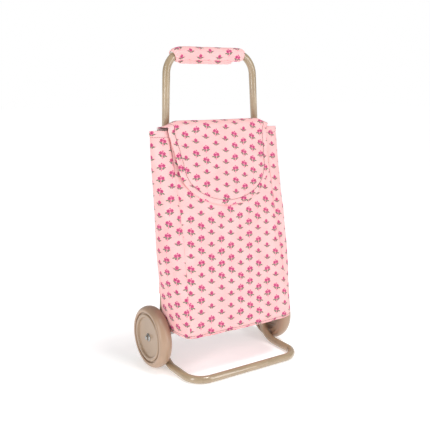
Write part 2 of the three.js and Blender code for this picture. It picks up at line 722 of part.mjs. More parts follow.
function flapTop() {
  const outline = bandOutline(flapTopLine(), -CLOTH / 2, CLOTH / 2);
  return named('flap_top', slabAlongX(outline, FLAP_HALF), print);
}

/** Depth line of a layer that lies a given distance in front of the bag's front panel. */
function frontLine(distance, from, to) {
  return spread(from, to, 8).map((rise) => new THREE.Vector2(-bagFront(0, rise) - distance, rise));
}

/** Outline of the flap seen from the front, drawn a given distance inside its edge. */
function flapOutline(inset) {
  const top = FRONT_FOLD.y - HINGE_SPACE;
  const waist = FRONT_FOLD.y - FLAP_WAIST_DROP;
  const shape = new THREE.Shape();
  shape.moveTo(FLAP_HALF - inset, top);
  shape.lineTo(-FLAP_HALF + inset, top);
  const across = FLAP_WAIST_HALF - inset;
  const down = FLAP_LENGTH - FLAP_WAIST_DROP - inset;
  shape.absellipse(0, waist, across, down, Math.PI, 2 * Math.PI, false);
  return shape;
}

function frontPrism(shape, curveSegments) {
  const reach = BAG_BACK + BAG_DEPTH_LOW + BAG_CROWN + FLAP_STANDOFF + 5 * CLOTH;
  const prism = new THREE.ExtrudeGeometry(shape, { depth: reach, bevelEnabled: false, curveSegments });
  return toManifold(prism.rotateX(Math.PI / 2));
}

function flapLayer() {
  const bottom = FRONT_FOLD.y - FLAP_LENGTH - 2 * CLOTH;
  const line = frontLine(FLAP_STANDOFF, FRONT_FOLD.y, bottom);
  return toManifold(slabAlongX(bandOutline(line, 0, -CLOTH), FLAP_HALF + CLOTH));
}

function flapFront() {
  const inside = frontPrism(flapOutline(BINDING_WIDTH + CLEARANCE), 14);
  return named('flap_front', fromManifold(flapLayer().intersect(inside)), print);
}

function flapBinding() {
  const whole = frontPrism(flapOutline(0), 14);
  const inside = frontPrism(flapOutline(BINDING_WIDTH), 14);
  const lift = new THREE.BoxGeometry(2 * (FLAP_HALF - BINDING_WIDTH), 400, 8 * CLOTH);
  const slot = toManifold(lift.translate(0, 0, FRONT_FOLD.y));
  const band = flapLayer().intersect(whole).subtract(inside).subtract(slot);
  return named('flap_binding', fromManifold(band), print);
}

/** A rectangle of fastening tape between the flap and the bag, a given distance off the bag. */
function tapePatch(name, distance) {
  const bottom = FRONT_FOLD.y - FLAP_LENGTH + PATCH.rise;
  const line = frontLine(distance, bottom + PATCH.height, bottom);
  return named(name, slabAlongX(bandOutline(line, 0, -PATCH.thickness), PATCH.half), fastener);
}

// ---- Assembly -----------------------------------------------------------------------------------

function buildTrolley() {
  const trolley = new THREE.Group();
  trolley.add(lowerFrameTube());

  const legPlane = new THREE.Group();
  legPlane.rotation.x = -LEAN;
  legPlane.position.z = FLOOR_AXIS;
  trolley.add(legPlane);
  legPlane.add(upperFrameTube(), handleFoam(), handleCover(), coverStrip());
  legPlane.add(bagFrontPanel(), bagBackPanel(), bagBottomPanel(), bottomBoard());
  legPlane.add(flapTop(), flapFront(), flapBinding());
  legPlane.add(tapePatch('loop_patch', CLEARANCE));
  legPlane.add(tapePatch('hook_patch', FLAP_STANDOFF - CLEARANCE - PATCH.thickness));

  const wheels = new THREE.Group();
  wheels.position.set(0, AXLE_RISE * Math.sin(LEAN), AXLE_HEIGHT);
  trolley.add(wheels);
  wheels.add(axle());

  const strapLow = 2 * WHEEL_RADIUS + LOOP_STRAP_MARGIN + LOOP_STRAP.height / 2;
  const strapHigh = BAG_TOP - LOOP_STRAP_MARGIN - LOOP_STRAP.height / 2;
  for (const [side, label] of [[-1, 'left'], [1, 'right']]) {
    legPlane.add(spliceScrew(side, label), spliceNut(side, label), bagSide(side, label));
    legPlane.add(loopStrap(side, `lower_${label}`, strapLow));
    legPlane.add(loopStrap(side, `upper_${label}`, strapHigh));
    wheels.add(washer(side, label), wheelDisc(side, label), tyre(side, label), pushNut(side, label));
  }
  return trolley;
}

/** Moves the whole trolley so that its box stands centred on the origin. */
function centredOnFloor(group) {
  const box = new THREE.Box3().setFromObject(group, true);
  const holder = new THREE.Group();
  group.position.set(-(box.min.x + box.max.x) / 2, -(box.min.y + box.max.y) / 2, -box.min.z);
  holder.add(group);
  return holder;
}

export default centredOnFloor(buildTrolley());
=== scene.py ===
"""Looks of a child's two-wheeled shopping trolley.

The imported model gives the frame: where every part sits, which body it moves with and how large the
whole is. This script builds the visible surfaces round it. Lengths are in millimetres until a mesh is
made. The bag, the flap and the grip are laid out in the plane of the legs, which leans back a little:
``across`` runs to the right, ``depth`` runs forward from the leg axes and ``rise`` runs up the legs.
"""

import logging
import math
from dataclasses import dataclass, field
from enum import Enum
from functools import cached_property
from typing import Callable, Sequence

import bmesh
import bpy
import numpy as np
from mathutils import Matrix, Vector, noise


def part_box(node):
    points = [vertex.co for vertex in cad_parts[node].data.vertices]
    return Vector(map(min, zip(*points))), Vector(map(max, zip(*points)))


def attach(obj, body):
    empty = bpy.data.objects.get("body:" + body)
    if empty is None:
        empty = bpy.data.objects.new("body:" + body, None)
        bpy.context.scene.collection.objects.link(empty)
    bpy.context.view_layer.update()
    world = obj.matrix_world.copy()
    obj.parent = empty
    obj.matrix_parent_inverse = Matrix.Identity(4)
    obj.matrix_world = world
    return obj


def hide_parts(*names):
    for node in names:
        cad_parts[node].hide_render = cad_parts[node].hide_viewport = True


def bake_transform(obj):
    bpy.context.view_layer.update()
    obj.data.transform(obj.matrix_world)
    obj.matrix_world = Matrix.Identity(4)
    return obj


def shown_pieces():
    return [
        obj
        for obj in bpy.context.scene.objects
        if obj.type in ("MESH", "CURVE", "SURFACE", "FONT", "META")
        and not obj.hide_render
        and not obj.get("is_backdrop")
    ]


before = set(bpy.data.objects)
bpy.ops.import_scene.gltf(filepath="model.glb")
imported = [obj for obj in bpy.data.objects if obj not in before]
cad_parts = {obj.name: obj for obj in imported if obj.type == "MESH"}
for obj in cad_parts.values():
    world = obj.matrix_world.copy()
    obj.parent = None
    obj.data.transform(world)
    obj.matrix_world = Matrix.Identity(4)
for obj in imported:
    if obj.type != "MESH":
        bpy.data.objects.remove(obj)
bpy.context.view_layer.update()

# Metres in a millimetre, what the flat facets of a tube lack in radius, and millimetres in a UV unit.
MM = 0.001
FACET_GAP = 0.24
UV_LENGTH = 100
log = logging.getLogger("trolley")

Point = Sequence[float]
Grid = np.ndarray


# ---- Shared measures ----


@dataclass(frozen=True)
class Legs:
    """The leaning plane of the two leg tubes and how the legs taper towards the grip."""

    tube_radius: float = 7.0
    foot_span: float = 230.0
    handle_span: float = 181.0
    lean: float = math.radians(2.2)
    loop_reach: float = 112.0

    @cached_property
    def floor_axis(self) -> float:
        """Height of the tube's axis where it lies on the floor."""
        return -float(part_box("lower_frame_tube")[0].z) / MM + self.tube_radius - FACET_GAP

    @cached_property
    def foot(self) -> float:
        """Row Y of the leg axes at the floor."""
        return float(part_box("lower_frame_tube")[0].y) / MM + self.tube_radius - FACET_GAP + self.loop_reach

    @cached_property
    def length(self) -> float:
        """Length of a leg from the floor to the axis of the top bar."""
        top = float(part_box("upper_frame_tube")[1].z) / MM - self.tube_radius
        return (top - self.floor_axis) / math.cos(self.lean)

    @cached_property
    def splay(self) -> float:
        """Angle of each leg from the middle plane."""
        return math.atan((self.foot_span - self.handle_span) / 2 / self.length)

    def across(self, rise: float) -> float:
        """Distance of a leg's axis from the middle at a rise."""
        share = rise / self.length
        return (self.foot_span + (self.handle_span - self.foot_span) * share) / 2

    def rise_of(self, place: Vector) -> float:
        """Rise of a row-frame place given in metres."""
        away_y, away_z = place.y / MM - self.foot, place.z / MM - self.floor_axis
        return away_y * math.sin(self.lean) + away_z * math.cos(self.lean)

    def place(self, points: Grid) -> Grid:
        """Turns points of across, depth and rise into row coordinates.

        Args:
            points: An array whose last axis holds across, depth and rise.

        Returns:
            An array of the same shape with X, Y and Z in millimetres.
        """
        across, depth, rise = np.moveaxis(np.asarray(points, float), -1, 0)
        cosine, sine = math.cos(self.lean), math.sin(self.lean)
        y = self.foot - depth * cosine + rise * sine
        z = self.floor_axis + depth * sine + rise * cosine
        return np.stack([across, y, z], axis=-1)


@dataclass(frozen=True)
class BagForm:
    """Shape of the sewn bag: its panels' edges and the depth at each height."""

    back: float = 9.6
    bottom: float = 67.0
    top: float = 419.0
    depth_low: float = 87.0
    depth_top: float = 13.0
    taper: float = 1.25
    crown: float = 4.5
    front_half: float = 104.0
    front_half_low: float = 115.0
    back_half: float = 119.0
    side_half: float = 134.0
    side_half_low: float = 120.0
    flare_start: float = 67.0
    flare_height: float = 158.4

    def share(self, rise: float) -> float:
        """How far up the bag a rise is, from 0 to 1."""
        return min(max((rise - self.bottom) / (self.top - self.bottom), 0.0), 1.0)

    def depth(self, rise: float) -> float:
        """Distance from the back panel to the front panel's side edges."""
        return self.depth_low + (self.depth_top - self.depth_low) * self.share(rise) ** self.taper

    def front_edge(self, rise: float) -> float:
        """Half the width of the front panel."""
        low = 1 - self.share(rise)
        return self.front_half + (self.front_half_low - self.front_half) * low * low

    def crease(self, rise: float) -> float:
        """Half the bag's width at the crease of its side panels."""
        share = smooth((rise - self.flare_start) / self.flare_height)
        return self.side_half_low + (self.side_half - self.side_half_low) * share

    def front_depth(self, across: float, rise: float) -> float:
        """Depth of the front panel's outer face, in front of the leg axes."""
        share = min(abs(across) / self.front_edge(rise), 1.0)
        return self.back + self.depth(rise) + self.crown * (1 - share * share)


LEGS = Legs()
BAG = BagForm()


def smooth(share: float) -> float:
    """Smooth step of a share clamped to 0 and 1."""
    share = min(max(share, 0.0), 1.0)
    return share * share * (3 - 2 * share)


def bell(distance: float, width: float) -> float:
    """A bump of height 1 at distance 0 that fades over a width."""
    return math.exp(-((distance / width) ** 2))


def relief(across: float, along: float, size: float, seed: float) -> float:
    """Gentle random swell of cloth, from about -1 to 1, at a given wavelength."""
    return noise.noise(Vector((across / size, along / size, seed)))


# ---- Mesh helpers ----


def linked(name: str, data: bpy.types.ID) -> bpy.types.Object:
    """Puts an object with its data into the scene.

    Args:
        name: The object's name.
        data: Its mesh, light or camera.

    Returns:
        The new object.
    """
    made = bpy.data.objects.new(name, data)
    bpy.context.scene.collection.objects.link(made)
    return made


def placed(piece: bpy.types.Object, body: str, slot: str, *nodes: str) -> None:
    """Args:
        piece: The piece.
        body: The body that it moves with.
        slot: The name of its material slot; not used.
        nodes: The CAD nodes that it stands for.
    """
    if nodes:
        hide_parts(*nodes)
    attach(piece, body)


def mesh_object(
    name: str, points: Grid, faces: list[tuple[int, ...]], uvs: Grid | None = None
) -> bpy.types.Object:
    """Makes a smooth-shaded object from points in row millimetres.

    Args:
        name: The piece's name.
        points: One row of X, Y and Z for each vertex.
        faces: Vertex indices of each face, seen from outside anticlockwise.
        uvs: One row of U and V for each vertex, in cloth millimetres.

    Returns:
        The new object, linked to the scene.
    """
    mesh = bpy.data.meshes.new(name)
    mesh.from_pydata((np.asarray(points, float) * MM).tolist(), [], faces)
    if uvs is not None:
        layer = mesh.uv_layers.new(name="Cloth")
        loops = np.zeros(len(mesh.loops), np.int32)
        mesh.loops.foreach_get("vertex_index", loops)
        layer.data.foreach_set("uv", (np.asarray(uvs, float)[loops] / UV_LENGTH).astype(np.float32).ravel())
    mesh.polygons.foreach_set("use_smooth", [True] * len(mesh.polygons))
    mesh.update()
    return linked(name, mesh)


def grid_faces(
    rows: int, columns: int, start: int = 0, flip: bool = False, wrap: bool = False
) -> list[tuple]:
    """Faces of a grid of vertices, optionally closed round from the last column to the first.

    Args:
        rows: Rows of vertices.
        columns: Vertices in each row.
        start: Index of the first vertex.
        flip: Whether the faces point the other way.
        wrap: Whether the rows are closed rings.

    Returns:
        Four vertex indices for each face.
    """
    faces = []
    for row in range(rows - 1):
        for column in range(columns if wrap else columns - 1):
            following = (column + 1) % columns
            quad = (
                start + row * columns + column,
                start + row * columns + following,
                start + (row + 1) * columns + following,
                start + (row + 1) * columns + column,
            )
            faces.append(quad[::-1] if flip else quad)
    return faces


def grid_normals(surface: Grid) -> Grid:
    """Unit normals of a grid of points, on the side from which columns run right and rows run up.

    Args:
        surface: Rows and columns of points.

    Returns:
        One unit vector for each point.
    """
    along = np.gradient(surface, axis=1)
    up = np.gradient(surface, axis=0)
    normals = np.cross(along, up)
    length = np.linalg.norm(normals, axis=-1, keepdims=True)
    return normals / np.maximum(length, 1e-9)


def cloth_piece(
    name: str, surface: Grid, uvs: Grid, thickness: float, flip: bool = False
) -> bpy.types.Object:
    """A sheet of cloth with a real thickness from a grid of points on its outer face.

    Args:
        name: The piece's name.
        surface: Rows and columns of row-frame points in millimetres.
        uvs: Cloth millimetres for each grid point.
        thickness: Distance to the inner face.
        flip: True where the columns run left as seen from outside.

    Returns:
        A closed mesh whose inner face has the second material slot.
    """
    rows, columns = surface.shape[:2]
    normals = grid_normals(surface) * (-1 if flip else 1)
    inner = surface - normals * thickness
    points = np.concatenate([surface.reshape(-1, 3), inner.reshape(-1, 3)])
    count = rows * columns
    faces = grid_faces(rows, columns, 0, flip)
    inner_faces = grid_faces(rows, columns, count, not flip)
    rim = []
    for column in range(columns - 1):
        rim.append((column + 1, column, count + column, count + column + 1))
        last = (rows - 1) * columns + column
        rim.append((last, last + 1, count + last + 1, count + last))
    for row in range(rows - 1):
        left = row * columns
        rim.append((left, left + columns, count + left + columns, count + left))
        right = left + columns - 1
        rim.append((right + columns, right, count + right, count + right + columns))
    if flip:
        rim = [face[::-1] for face in rim]
    flat = np.concatenate([uvs.reshape(-1, 2)] * 2)
    piece = mesh_object(name, points, faces + inner_faces + rim, flat)
    inside = [0] * len(faces) + [1] * len(inner_faces) + [0] * len(rim)
    piece.data.polygons.foreach_set("material_index", inside)
    return piece


def filleted(corners: Sequence[Point], radii: Sequence[float], steps: int) -> Grid:
    """A line through corner points with each inner corner rounded by an arc.

    Args:
        corners: The corner points, in two or three dimensions.
        radii: One radius for each inner corner.
        steps: Points on each arc beyond its first.

    Returns:
        The points of the rounded line.
    """
    corners = [np.asarray(corner, float) for corner in corners]
    line = [corners[0]]
    for before, corner, after, radius in zip(corners, corners[1:], corners[2:], radii):
        into = (corner - before) / np.linalg.norm(corner - before)
        out = (after - corner) / np.linalg.norm(after - corner)
        turn = math.acos(float(np.clip(into @ out, -1, 1)))
        if radius <= 0 or turn < 1e-3:
            line.append(corner)
            continue
        start = corner - into * radius * math.tan(turn / 2)
        inward = out - into * math.cos(turn)
        inward = inward / np.linalg.norm(inward)
        centre = start + inward * radius
        for step in range(steps + 1):
            angle = turn * step / steps
            line.append(centre - inward * radius * math.cos(angle) + into * radius * math.sin(angle))
    line.append(corners[-1])
    return np.array(line)


def resampled(line: Grid, spacing: float) -> Grid:
    """Points at even distances along a line.

    Args:
        line: The line's points.
        spacing: Distance wanted between points.

    Returns:
        The new points, both ends kept.
    """
    steps = np.linalg.norm(np.diff(line, axis=0), axis=1)
    along = np.concatenate([[0], np.cumsum(steps)])
    count = max(int(round(along[-1] / spacing)), 2)
    places = np.linspace(0, along[-1], count + 1)
    return np.stack([np.interp(places, along, line[:, axis]) for axis in range(line.shape[1])], axis=1)


def stances(line: Grid, up: Grid) -> list[tuple[Grid, Grid, Grid]]:
    """Each point of a line with the side and top directions there.

    Args:
        line: The line's points.
        up: The direction that the top keeps to.

    Returns:
        Place, side and top at each point.
    """
    tangents = np.gradient(line, axis=0)
    tangents /= np.linalg.norm(tangents, axis=1, keepdims=True)
    found = []
    for place, tangent in zip(line, tangents):
        side = np.cross(tangent, up)
        side /= np.linalg.norm(side)
        found.append((place, side, np.cross(side, tangent)))
    return found


def swept(name: str, line: Grid, section: Callable[[float], Grid], up: Point) -> bpy.types.Object:
    """Sweeps a closed section along a line of points.

    Args:
        name: The piece's name.
        line: The route, in row millimetres.
        section: Gives the outline as side and up offsets for a share of the route.
        up: The direction that the section's second axis keeps to.

    Returns:
        A closed mesh with U along the route and V round the section.
    """
    along = np.concatenate([[0], np.cumsum(np.linalg.norm(np.diff(line, axis=0), axis=1))])
    points, uvs = [], []
    for (place, side, top), distance in zip(stances(line, np.asarray(up, float)), along):
        outline = section(distance / along[-1])
        points.append(place + outline[:, :1] * side + outline[:, 1:] * top)
        round_it = np.concatenate([[0], np.cumsum(np.linalg.norm(np.diff(outline, axis=0), axis=1))])
        uvs.append(np.stack([np.full(len(outline), distance), round_it], axis=1))
    sides = len(points[0])
    flat = np.concatenate(points)
    faces = grid_faces(len(line), sides, 0, False, True)
    faces.append(tuple(range(sides))[::-1])
    faces.append(tuple(range(len(flat) - sides, len(flat))))
    return tidy(mesh_object(name, flat, faces, np.concatenate(uvs)))


def tidy(piece: bpy.types.Object, merge: float = 1e-6) -> bpy.types.Object:
    """Merges doubled points and turns every face of a closed mesh outwards.

    Args:
        piece: The object to mend.
        merge: Distance in metres within which points are merged.

    Returns:
        The same object.
    """
    work = bmesh.new()
    work.from_mesh(piece.data)
    bmesh.ops.remove_doubles(work, verts=work.verts, dist=merge)
    bmesh.ops.recalc_face_normals(work, faces=work.faces)
    work.to_mesh(piece.data)
    work.free()
    piece.data.update()
    return piece


def circle(radius: float, sides: int) -> Grid:
    """Points of a circle as side and up offsets."""
    angles = np.arange(sides) * 2 * math.pi / sides
    return np.stack([np.cos(angles), np.sin(angles)], axis=1) * radius


def turned(name: str, profile: Grid, centre: Point, side: int, segments: int) -> bpy.types.Object:
    """Turns a profile about an axis along X.

    Args:
        name: The piece's name.
        profile: Radius and outward distance of each point, closed on itself or on the axis.
        centre: A point on the axis; the distances are measured from its X.
        side: 1 where outward is +X, and -1 where it is -X.
        segments: Steps round the axis.

    Returns:
        A closed mesh.
    """
    angles = np.arange(segments) * 2 * math.pi / segments
    radius, outward = profile[:, 0], profile[:, 1]
    x = centre[0] + side * np.repeat(outward[:, None], segments, axis=1)
    y = centre[1] + radius[:, None] * np.cos(angles)
    z = centre[2] + radius[:, None] * np.sin(angles)
    points = np.stack([x, y, z], axis=-1).reshape(-1, 3)
    faces = grid_faces(len(profile), segments, 0, False, True)
    piece = tidy(mesh_object(name, points, faces), 1e-7)
    return tidy(piece, 1e-6)


def soften(piece: bpy.types.Object, angle: float = 50.0) -> None:
    """Keeps edges sharper than an angle crisp while the rest shades smoothly."""
    piece.data.set_sharp_from_angle(angle=math.radians(angle))


# ---- Node graphs ----


def preset(node: bpy.types.Node, values: dict[str, object]) -> None:
    """Sets a node's own input values by name.

    Args:
        node: The node.
        values: Value by input name.
    """
    for key, value in values.items():
        node.inputs[key].default_value = value


class Graph:
    """Short ways to add and join nodes in one tree."""

    def __init__(self, tree: bpy.types.NodeTree) -> None:
        """Keeps the tree to add to."""
        self.tree = tree

    def node(self, kind: str, **settings: object) -> bpy.types.Node:
        """Adds a node and sets its own properties.

        Args:
            kind: The node's type.
            settings: Its own properties by name.

        Returns:
            The new node.
        """
        made = self.tree.nodes.new(kind)
        for key, value in settings.items():
            setattr(made, key, value)
        return made

    def feed(self, socket: bpy.types.NodeSocket, value: object) -> None:
        """Joins a socket to an input, or sets the input's own value.

        Args:
            socket: The input.
            value: A socket to join or a plain value.
        """
        if isinstance(value, bpy.types.NodeSocket):
            self.tree.links.new(value, socket)
        elif value is not None:
            socket.default_value = value

    def math(self, operation: str, *values: object, clamp: bool = False) -> bpy.types.NodeSocket:
        """A Math node's result.

        Args:
            operation: The node's operation.
            values: Its inputs, as sockets or numbers.
            clamp: Whether the result is kept between 0 and 1.

        Returns:
            The result's socket.
        """
        made = self.node("ShaderNodeMath", operation=operation, use_clamp=clamp)
        for socket, value in zip(made.inputs, values):
            self.feed(socket, value)
        return made.outputs[0]

    def vector(self, operation: str, *values: object, output: int = 0) -> bpy.types.NodeSocket:
        """A Vector Math node's result.

        Args:
            operation: The node's operation.
            values: Its inputs, as sockets or vectors.
            output: 0 for a vector and 1 for a number.

        Returns:
            The result's socket.
        """
        made = self.node("ShaderNodeVectorMath", operation=operation)
        for socket, value in zip(made.inputs, values):
            self.feed(socket, value)
        return made.outputs[output]

    def blend(self, share: object, first: object, second: object) -> bpy.types.NodeSocket:
        """Mixes two colours by a share.

        Args:
            share: Share of the second colour.
            first: The first colour.
            second: The second colour.

        Returns:
            The mixed colour's socket.
        """
        made = self.node("ShaderNodeMix", data_type="RGBA")
        self.feed(made.inputs["Factor"], share)
        self.feed(made.inputs[6], first)
        self.feed(made.inputs[7], second)
        return made.outputs[2]

    def ramp(self, value: object, low: float, high: float) -> bpy.types.NodeSocket:
        """A smooth step of a value between two limits.

        Args:
            value: The value to step.
            low: Where the result is 0.
            high: Where the result is 1.

        Returns:
            The result's socket.
        """
        made = self.node("ShaderNodeMapRange", interpolation_type="SMOOTHSTEP")
        self.feed(made.inputs["Value"], value)
        self.feed(made.inputs["From Min"], low)
        self.feed(made.inputs["From Max"], high)
        return made.outputs[0]

    def noise(self, vector: object, scale: float, detail: float = 3.0) -> bpy.types.NodeSocket:
        """A Noise Texture's value.

        Args:
            vector: Where the noise is read.
            scale: How fine it is.
            detail: How many finer layers it has.

        Returns:
            The value's socket.
        """
        made = self.node("ShaderNodeTexNoise")
        self.feed(made.inputs["Vector"], vector)
        self.feed(made.inputs["Scale"], scale)
        self.feed(made.inputs["Detail"], detail)
        self.feed(made.inputs["Roughness"], 0.5)
        return made.outputs[0]

    def use(self, group: bpy.types.NodeTree, **values: object) -> bpy.types.Node:
        """Places a node group and feeds its inputs by name.

        Args:
            group: The group to place.
            values: Its inputs by name.

        Returns:
            The group's node.
        """
        made = self.node("ShaderNodeGroup")
        made.node_tree = group
        for key, value in values.items():
            self.feed(made.inputs[key], value)
        return made


def new_group(
    name: str, inputs: dict[str, tuple[str, object]], outputs: dict[str, str]
) -> tuple[Graph, bpy.types.Node, bpy.types.Node]:
    """Starts a shader node group.

    Args:
        name: The group's name.
        inputs: Socket kind and default value by name.
        outputs: Socket kind by name.

    Returns:
        The graph, the group's input node and its output node.
    """
    tree = bpy.data.node_groups.new(name, "ShaderNodeTree")
    for key, (kind, value) in inputs.items():
        socket = tree.interface.new_socket(key, in_out="INPUT", socket_type=f"NodeSocket{kind}")
        socket.default_value = value
    for key, kind in outputs.items():
        tree.interface.new_socket(key, in_out="OUTPUT", socket_type=f"NodeSocket{kind}")
    graph = Graph(tree)
    return graph, graph.node("NodeGroupInput"), graph.node("NodeGroupOutput")


class Effects:
    """Shader node groups that more than one finish uses, each built once."""

    def __init__(self) -> None:
        """Builds every group."""
        self.bloom = self._bloom()
        self.leaf = self._leaf()
        self.sprig = self._sprig()
        self.print = self._print()
        self.weave = self._weave()
        self.mottle = self._mottle()

    def _bloom(self) -> bpy.types.NodeTree:
        """A round flower head with a scalloped edge and a darker heart.

        Returns:
            The group's tree.
        """
        graph, given, result = new_group(
            "bloom",
            {"Point": ("Vector", (0, 0, 0)), "Centre": ("Vector", (0, 0, 0)), "Radius": ("Float", 2.4)},
            {"Mask": "Float", "Heart": "Float"},
        )
        offset = graph.vector("SUBTRACT", given.outputs["Point"], given.outputs["Centre"])
        parts = graph.node("ShaderNodeSeparateXYZ")
        graph.feed(parts.inputs[0], offset)
        angle = graph.math("ARCTAN2", parts.outputs["Y"], parts.outputs["X"])
        scallop = graph.math("MULTIPLY", graph.math("SINE", graph.math("MULTIPLY", angle, 5.0)), 0.1)
        reach = graph.math("MULTIPLY", graph.math("ADD", scallop, 1.0), given.outputs["Radius"])
        away = graph.math("DIVIDE", graph.vector("LENGTH", offset, output=1), reach)
        graph.feed(result.inputs["Mask"], graph.ramp(away, 1.12, 0.92))
        graph.feed(result.inputs["Heart"], graph.ramp(away, 0.75, 0.1))
        return graph.tree

    def _leaf(self) -> bpy.types.NodeTree:
        """An oval leaf or stem, turned by an angle.

        Returns:
            The group's tree.
        """
        graph, given, result = new_group(
            "leaf",
            {
                "Point": ("Vector", (0, 0, 0)),
                "Centre": ("Vector", (0, 0, 0)),
                "Size": ("Vector", (2, 1, 1)),
                "Angle": ("Float", 0.0),
            },
            {"Mask": "Float"},
        )
        turn = graph.node("ShaderNodeVectorRotate", rotation_type="Z_AXIS")
        offset = graph.vector("SUBTRACT", given.outputs["Point"], given.outputs["Centre"])
        graph.feed(turn.inputs["Vector"], offset)
        graph.feed(turn.inputs["Angle"], given.outputs["Angle"])
        scaled = graph.vector("DIVIDE", turn.outputs[0], given.outputs["Size"])
        away = graph.vector("LENGTH", scaled, output=1)
        graph.feed(result.inputs["Mask"], graph.ramp(away, 1.2, 0.85))
        return graph.tree

    def _sprig(self) -> bpy.types.NodeTree:
        """One printed sprig, a pair of blooms or a single one, chosen and mirrored by a random number.

        Returns:
            The group's tree.
        """
        graph, given, result = new_group(
            "sprig",
            {"Point": ("Vector", (0, 0, 0)), "Random": ("Float", 0.0)},
            {"Bloom": "Float", "Heart": "Float", "Leaf": "Float", "Stem": "Float"},
        )
        chance = given.outputs["Random"]
        mirror = graph.math("SUBTRACT", graph.math("MULTIPLY", graph.math(
            "GREATER_THAN", graph.math("FRACT", graph.math("MULTIPLY", chance, 7.0)), 0.6), -2.0), -1.0)
        flip = graph.node("ShaderNodeCombineXYZ")
        graph.feed(flip.inputs["X"], mirror)
        flip.inputs["Y"].default_value = 1.0
        point = graph.vector("MULTIPLY", given.outputs["Point"], flip.outputs[0])
        paired = graph.math("LESS_THAN", chance, 0.57)

        def bloom(x: float, y: float, radius: float) -> bpy.types.Node:
            """One flower head of the sprig."""
            return graph.use(self.bloom, Point=point, Centre=(x, y, 0), Radius=radius)

        def leaf(x: float, y: float, length: float, width: float, degrees: float) -> bpy.types.NodeSocket:
            """The mask of one leaf or stem of the sprig."""
            oval = {"Size": (length, width, 1), "Angle": math.radians(degrees)}
            return graph.use(self.leaf, Point=point, Centre=(x, y, 0), **oval).outputs[0]

        def most(*masks: bpy.types.NodeSocket) -> bpy.types.NodeSocket:
            """Joins masks.

            Args:
                masks: The masks to join.

            Returns:
                The largest value of them all.
            """
            total = masks[0]
            for mask in masks[1:]:
                total = graph.math("MAXIMUM", total, mask)
            return total

        def pick(pair: bpy.types.NodeSocket, single: bpy.types.NodeSocket) -> bpy.types.NodeSocket:
            """The paired sprig's value or the single one's, as this sprig was chosen."""
            gap = graph.math("SUBTRACT", pair, single)
            return graph.math("MULTIPLY_ADD", gap, paired, single)

        left, right, bud = bloom(-2.8, 1.2, 2.5), bloom(2.7, 0.2, 2.5), bloom(0.3, 3.9, 1.2)
        middle, lone, cap = bloom(0.1, 1.2, 1.2), bloom(0, 1.2, 2.75), bloom(-0.2, 2.0, 2.3)
        graph.feed(result.inputs["Bloom"], pick(
            most(left.outputs[0], right.outputs[0], bud.outputs[0], middle.outputs[0]),
            most(lone.outputs[0], cap.outputs[0])))
        graph.feed(result.inputs["Heart"], pick(most(left.outputs[1], right.outputs[1]), lone.outputs[1]))
        pair_leaves = most(
            leaf(-2.6, -2.8, 2.2, 1.5, 55), leaf(1.9, -3.5, 2.3, 1.5, 60), leaf(5.4, -2.9, 2.4, 1.05, 20),
            leaf(-5.0, -1.5, 1.5, 0.9, 40))
        lone_leaves = most(
            leaf(-3.6, -0.7, 2.3, 1.1, 12), leaf(3.6, -0.8, 2.3, 1.1, -10), leaf(-1.4, -2.0, 1.6, 1.25, 60),
            leaf(1.7, -2.1, 1.6, 1.25, -60))
        graph.feed(result.inputs["Leaf"], pick(pair_leaves, lone_leaves))
        pair_stem = most(leaf(0.0, -5.7, 1.9, 1.0, 70), leaf(0.1, -2.2, 2.0, 0.7, 90))
        lone_stem = most(leaf(-6.0, 0.2, 1.3, 0.6, 20), leaf(5.9, -0.2, 1.2, 0.6, 0))
        graph.feed(result.inputs["Stem"], pick(pair_stem, lone_stem))
        return graph.tree

    def _print(self) -> bpy.types.NodeTree:
        """The half-drop print, from cloth coordinates in tenths of a metre.

        Returns:
            The group's tree.
        """
        graph, given, result = new_group(
            "half_drop_print",
            {"Cloth": ("Vector", (0, 0, 0)), "Across": ("Float", 40.2), "Down": ("Float", 21.0)},
            {"Bloom": "Float", "Heart": "Float", "Leaf": "Float", "Stem": "Float"},
        )
        size = graph.node("ShaderNodeCombineXYZ")
        graph.feed(size.inputs["X"], given.outputs["Across"])
        graph.feed(size.inputs["Y"], given.outputs["Down"])
        size.inputs["Z"].default_value = 1.0
        cells = graph.vector("DIVIDE", graph.vector("SCALE", given.outputs["Cloth"]), size.outputs[0])
        cells.node.inputs[0].links[0].from_node.inputs["Scale"].default_value = float(UV_LENGTH)
        placed = []
        for drop, seed in ((0.0, 3.0), (0.5, 11.0)):
            shifted = graph.vector("ADD", cells, (drop, drop, 0))
            cell = graph.vector("FLOOR", shifted)
            inside = graph.vector("SUBTRACT", graph.vector("SUBTRACT", shifted, cell), (0.5, 0.5, 0))
            local = graph.vector("SCALE", graph.vector("MULTIPLY", inside, size.outputs[0]))
            local.node.inputs["Scale"].default_value = 0.87
            dice = graph.node("ShaderNodeTexWhiteNoise", noise_dimensions="2D")
            graph.feed(dice.inputs["Vector"], graph.vector("ADD", cell, (seed, seed * 2, 0)))
            flat = graph.vector("MULTIPLY", local, (1, 1, 0))
            placed.append(graph.use(self.sprig, Point=flat, Random=dice.outputs["Value"]))
        for key in ("Bloom", "Heart", "Leaf", "Stem"):
            first, second = (sprig.outputs[key] for sprig in placed)
            graph.feed(result.inputs[key], graph.math("MAXIMUM", first, second))
        return graph.tree

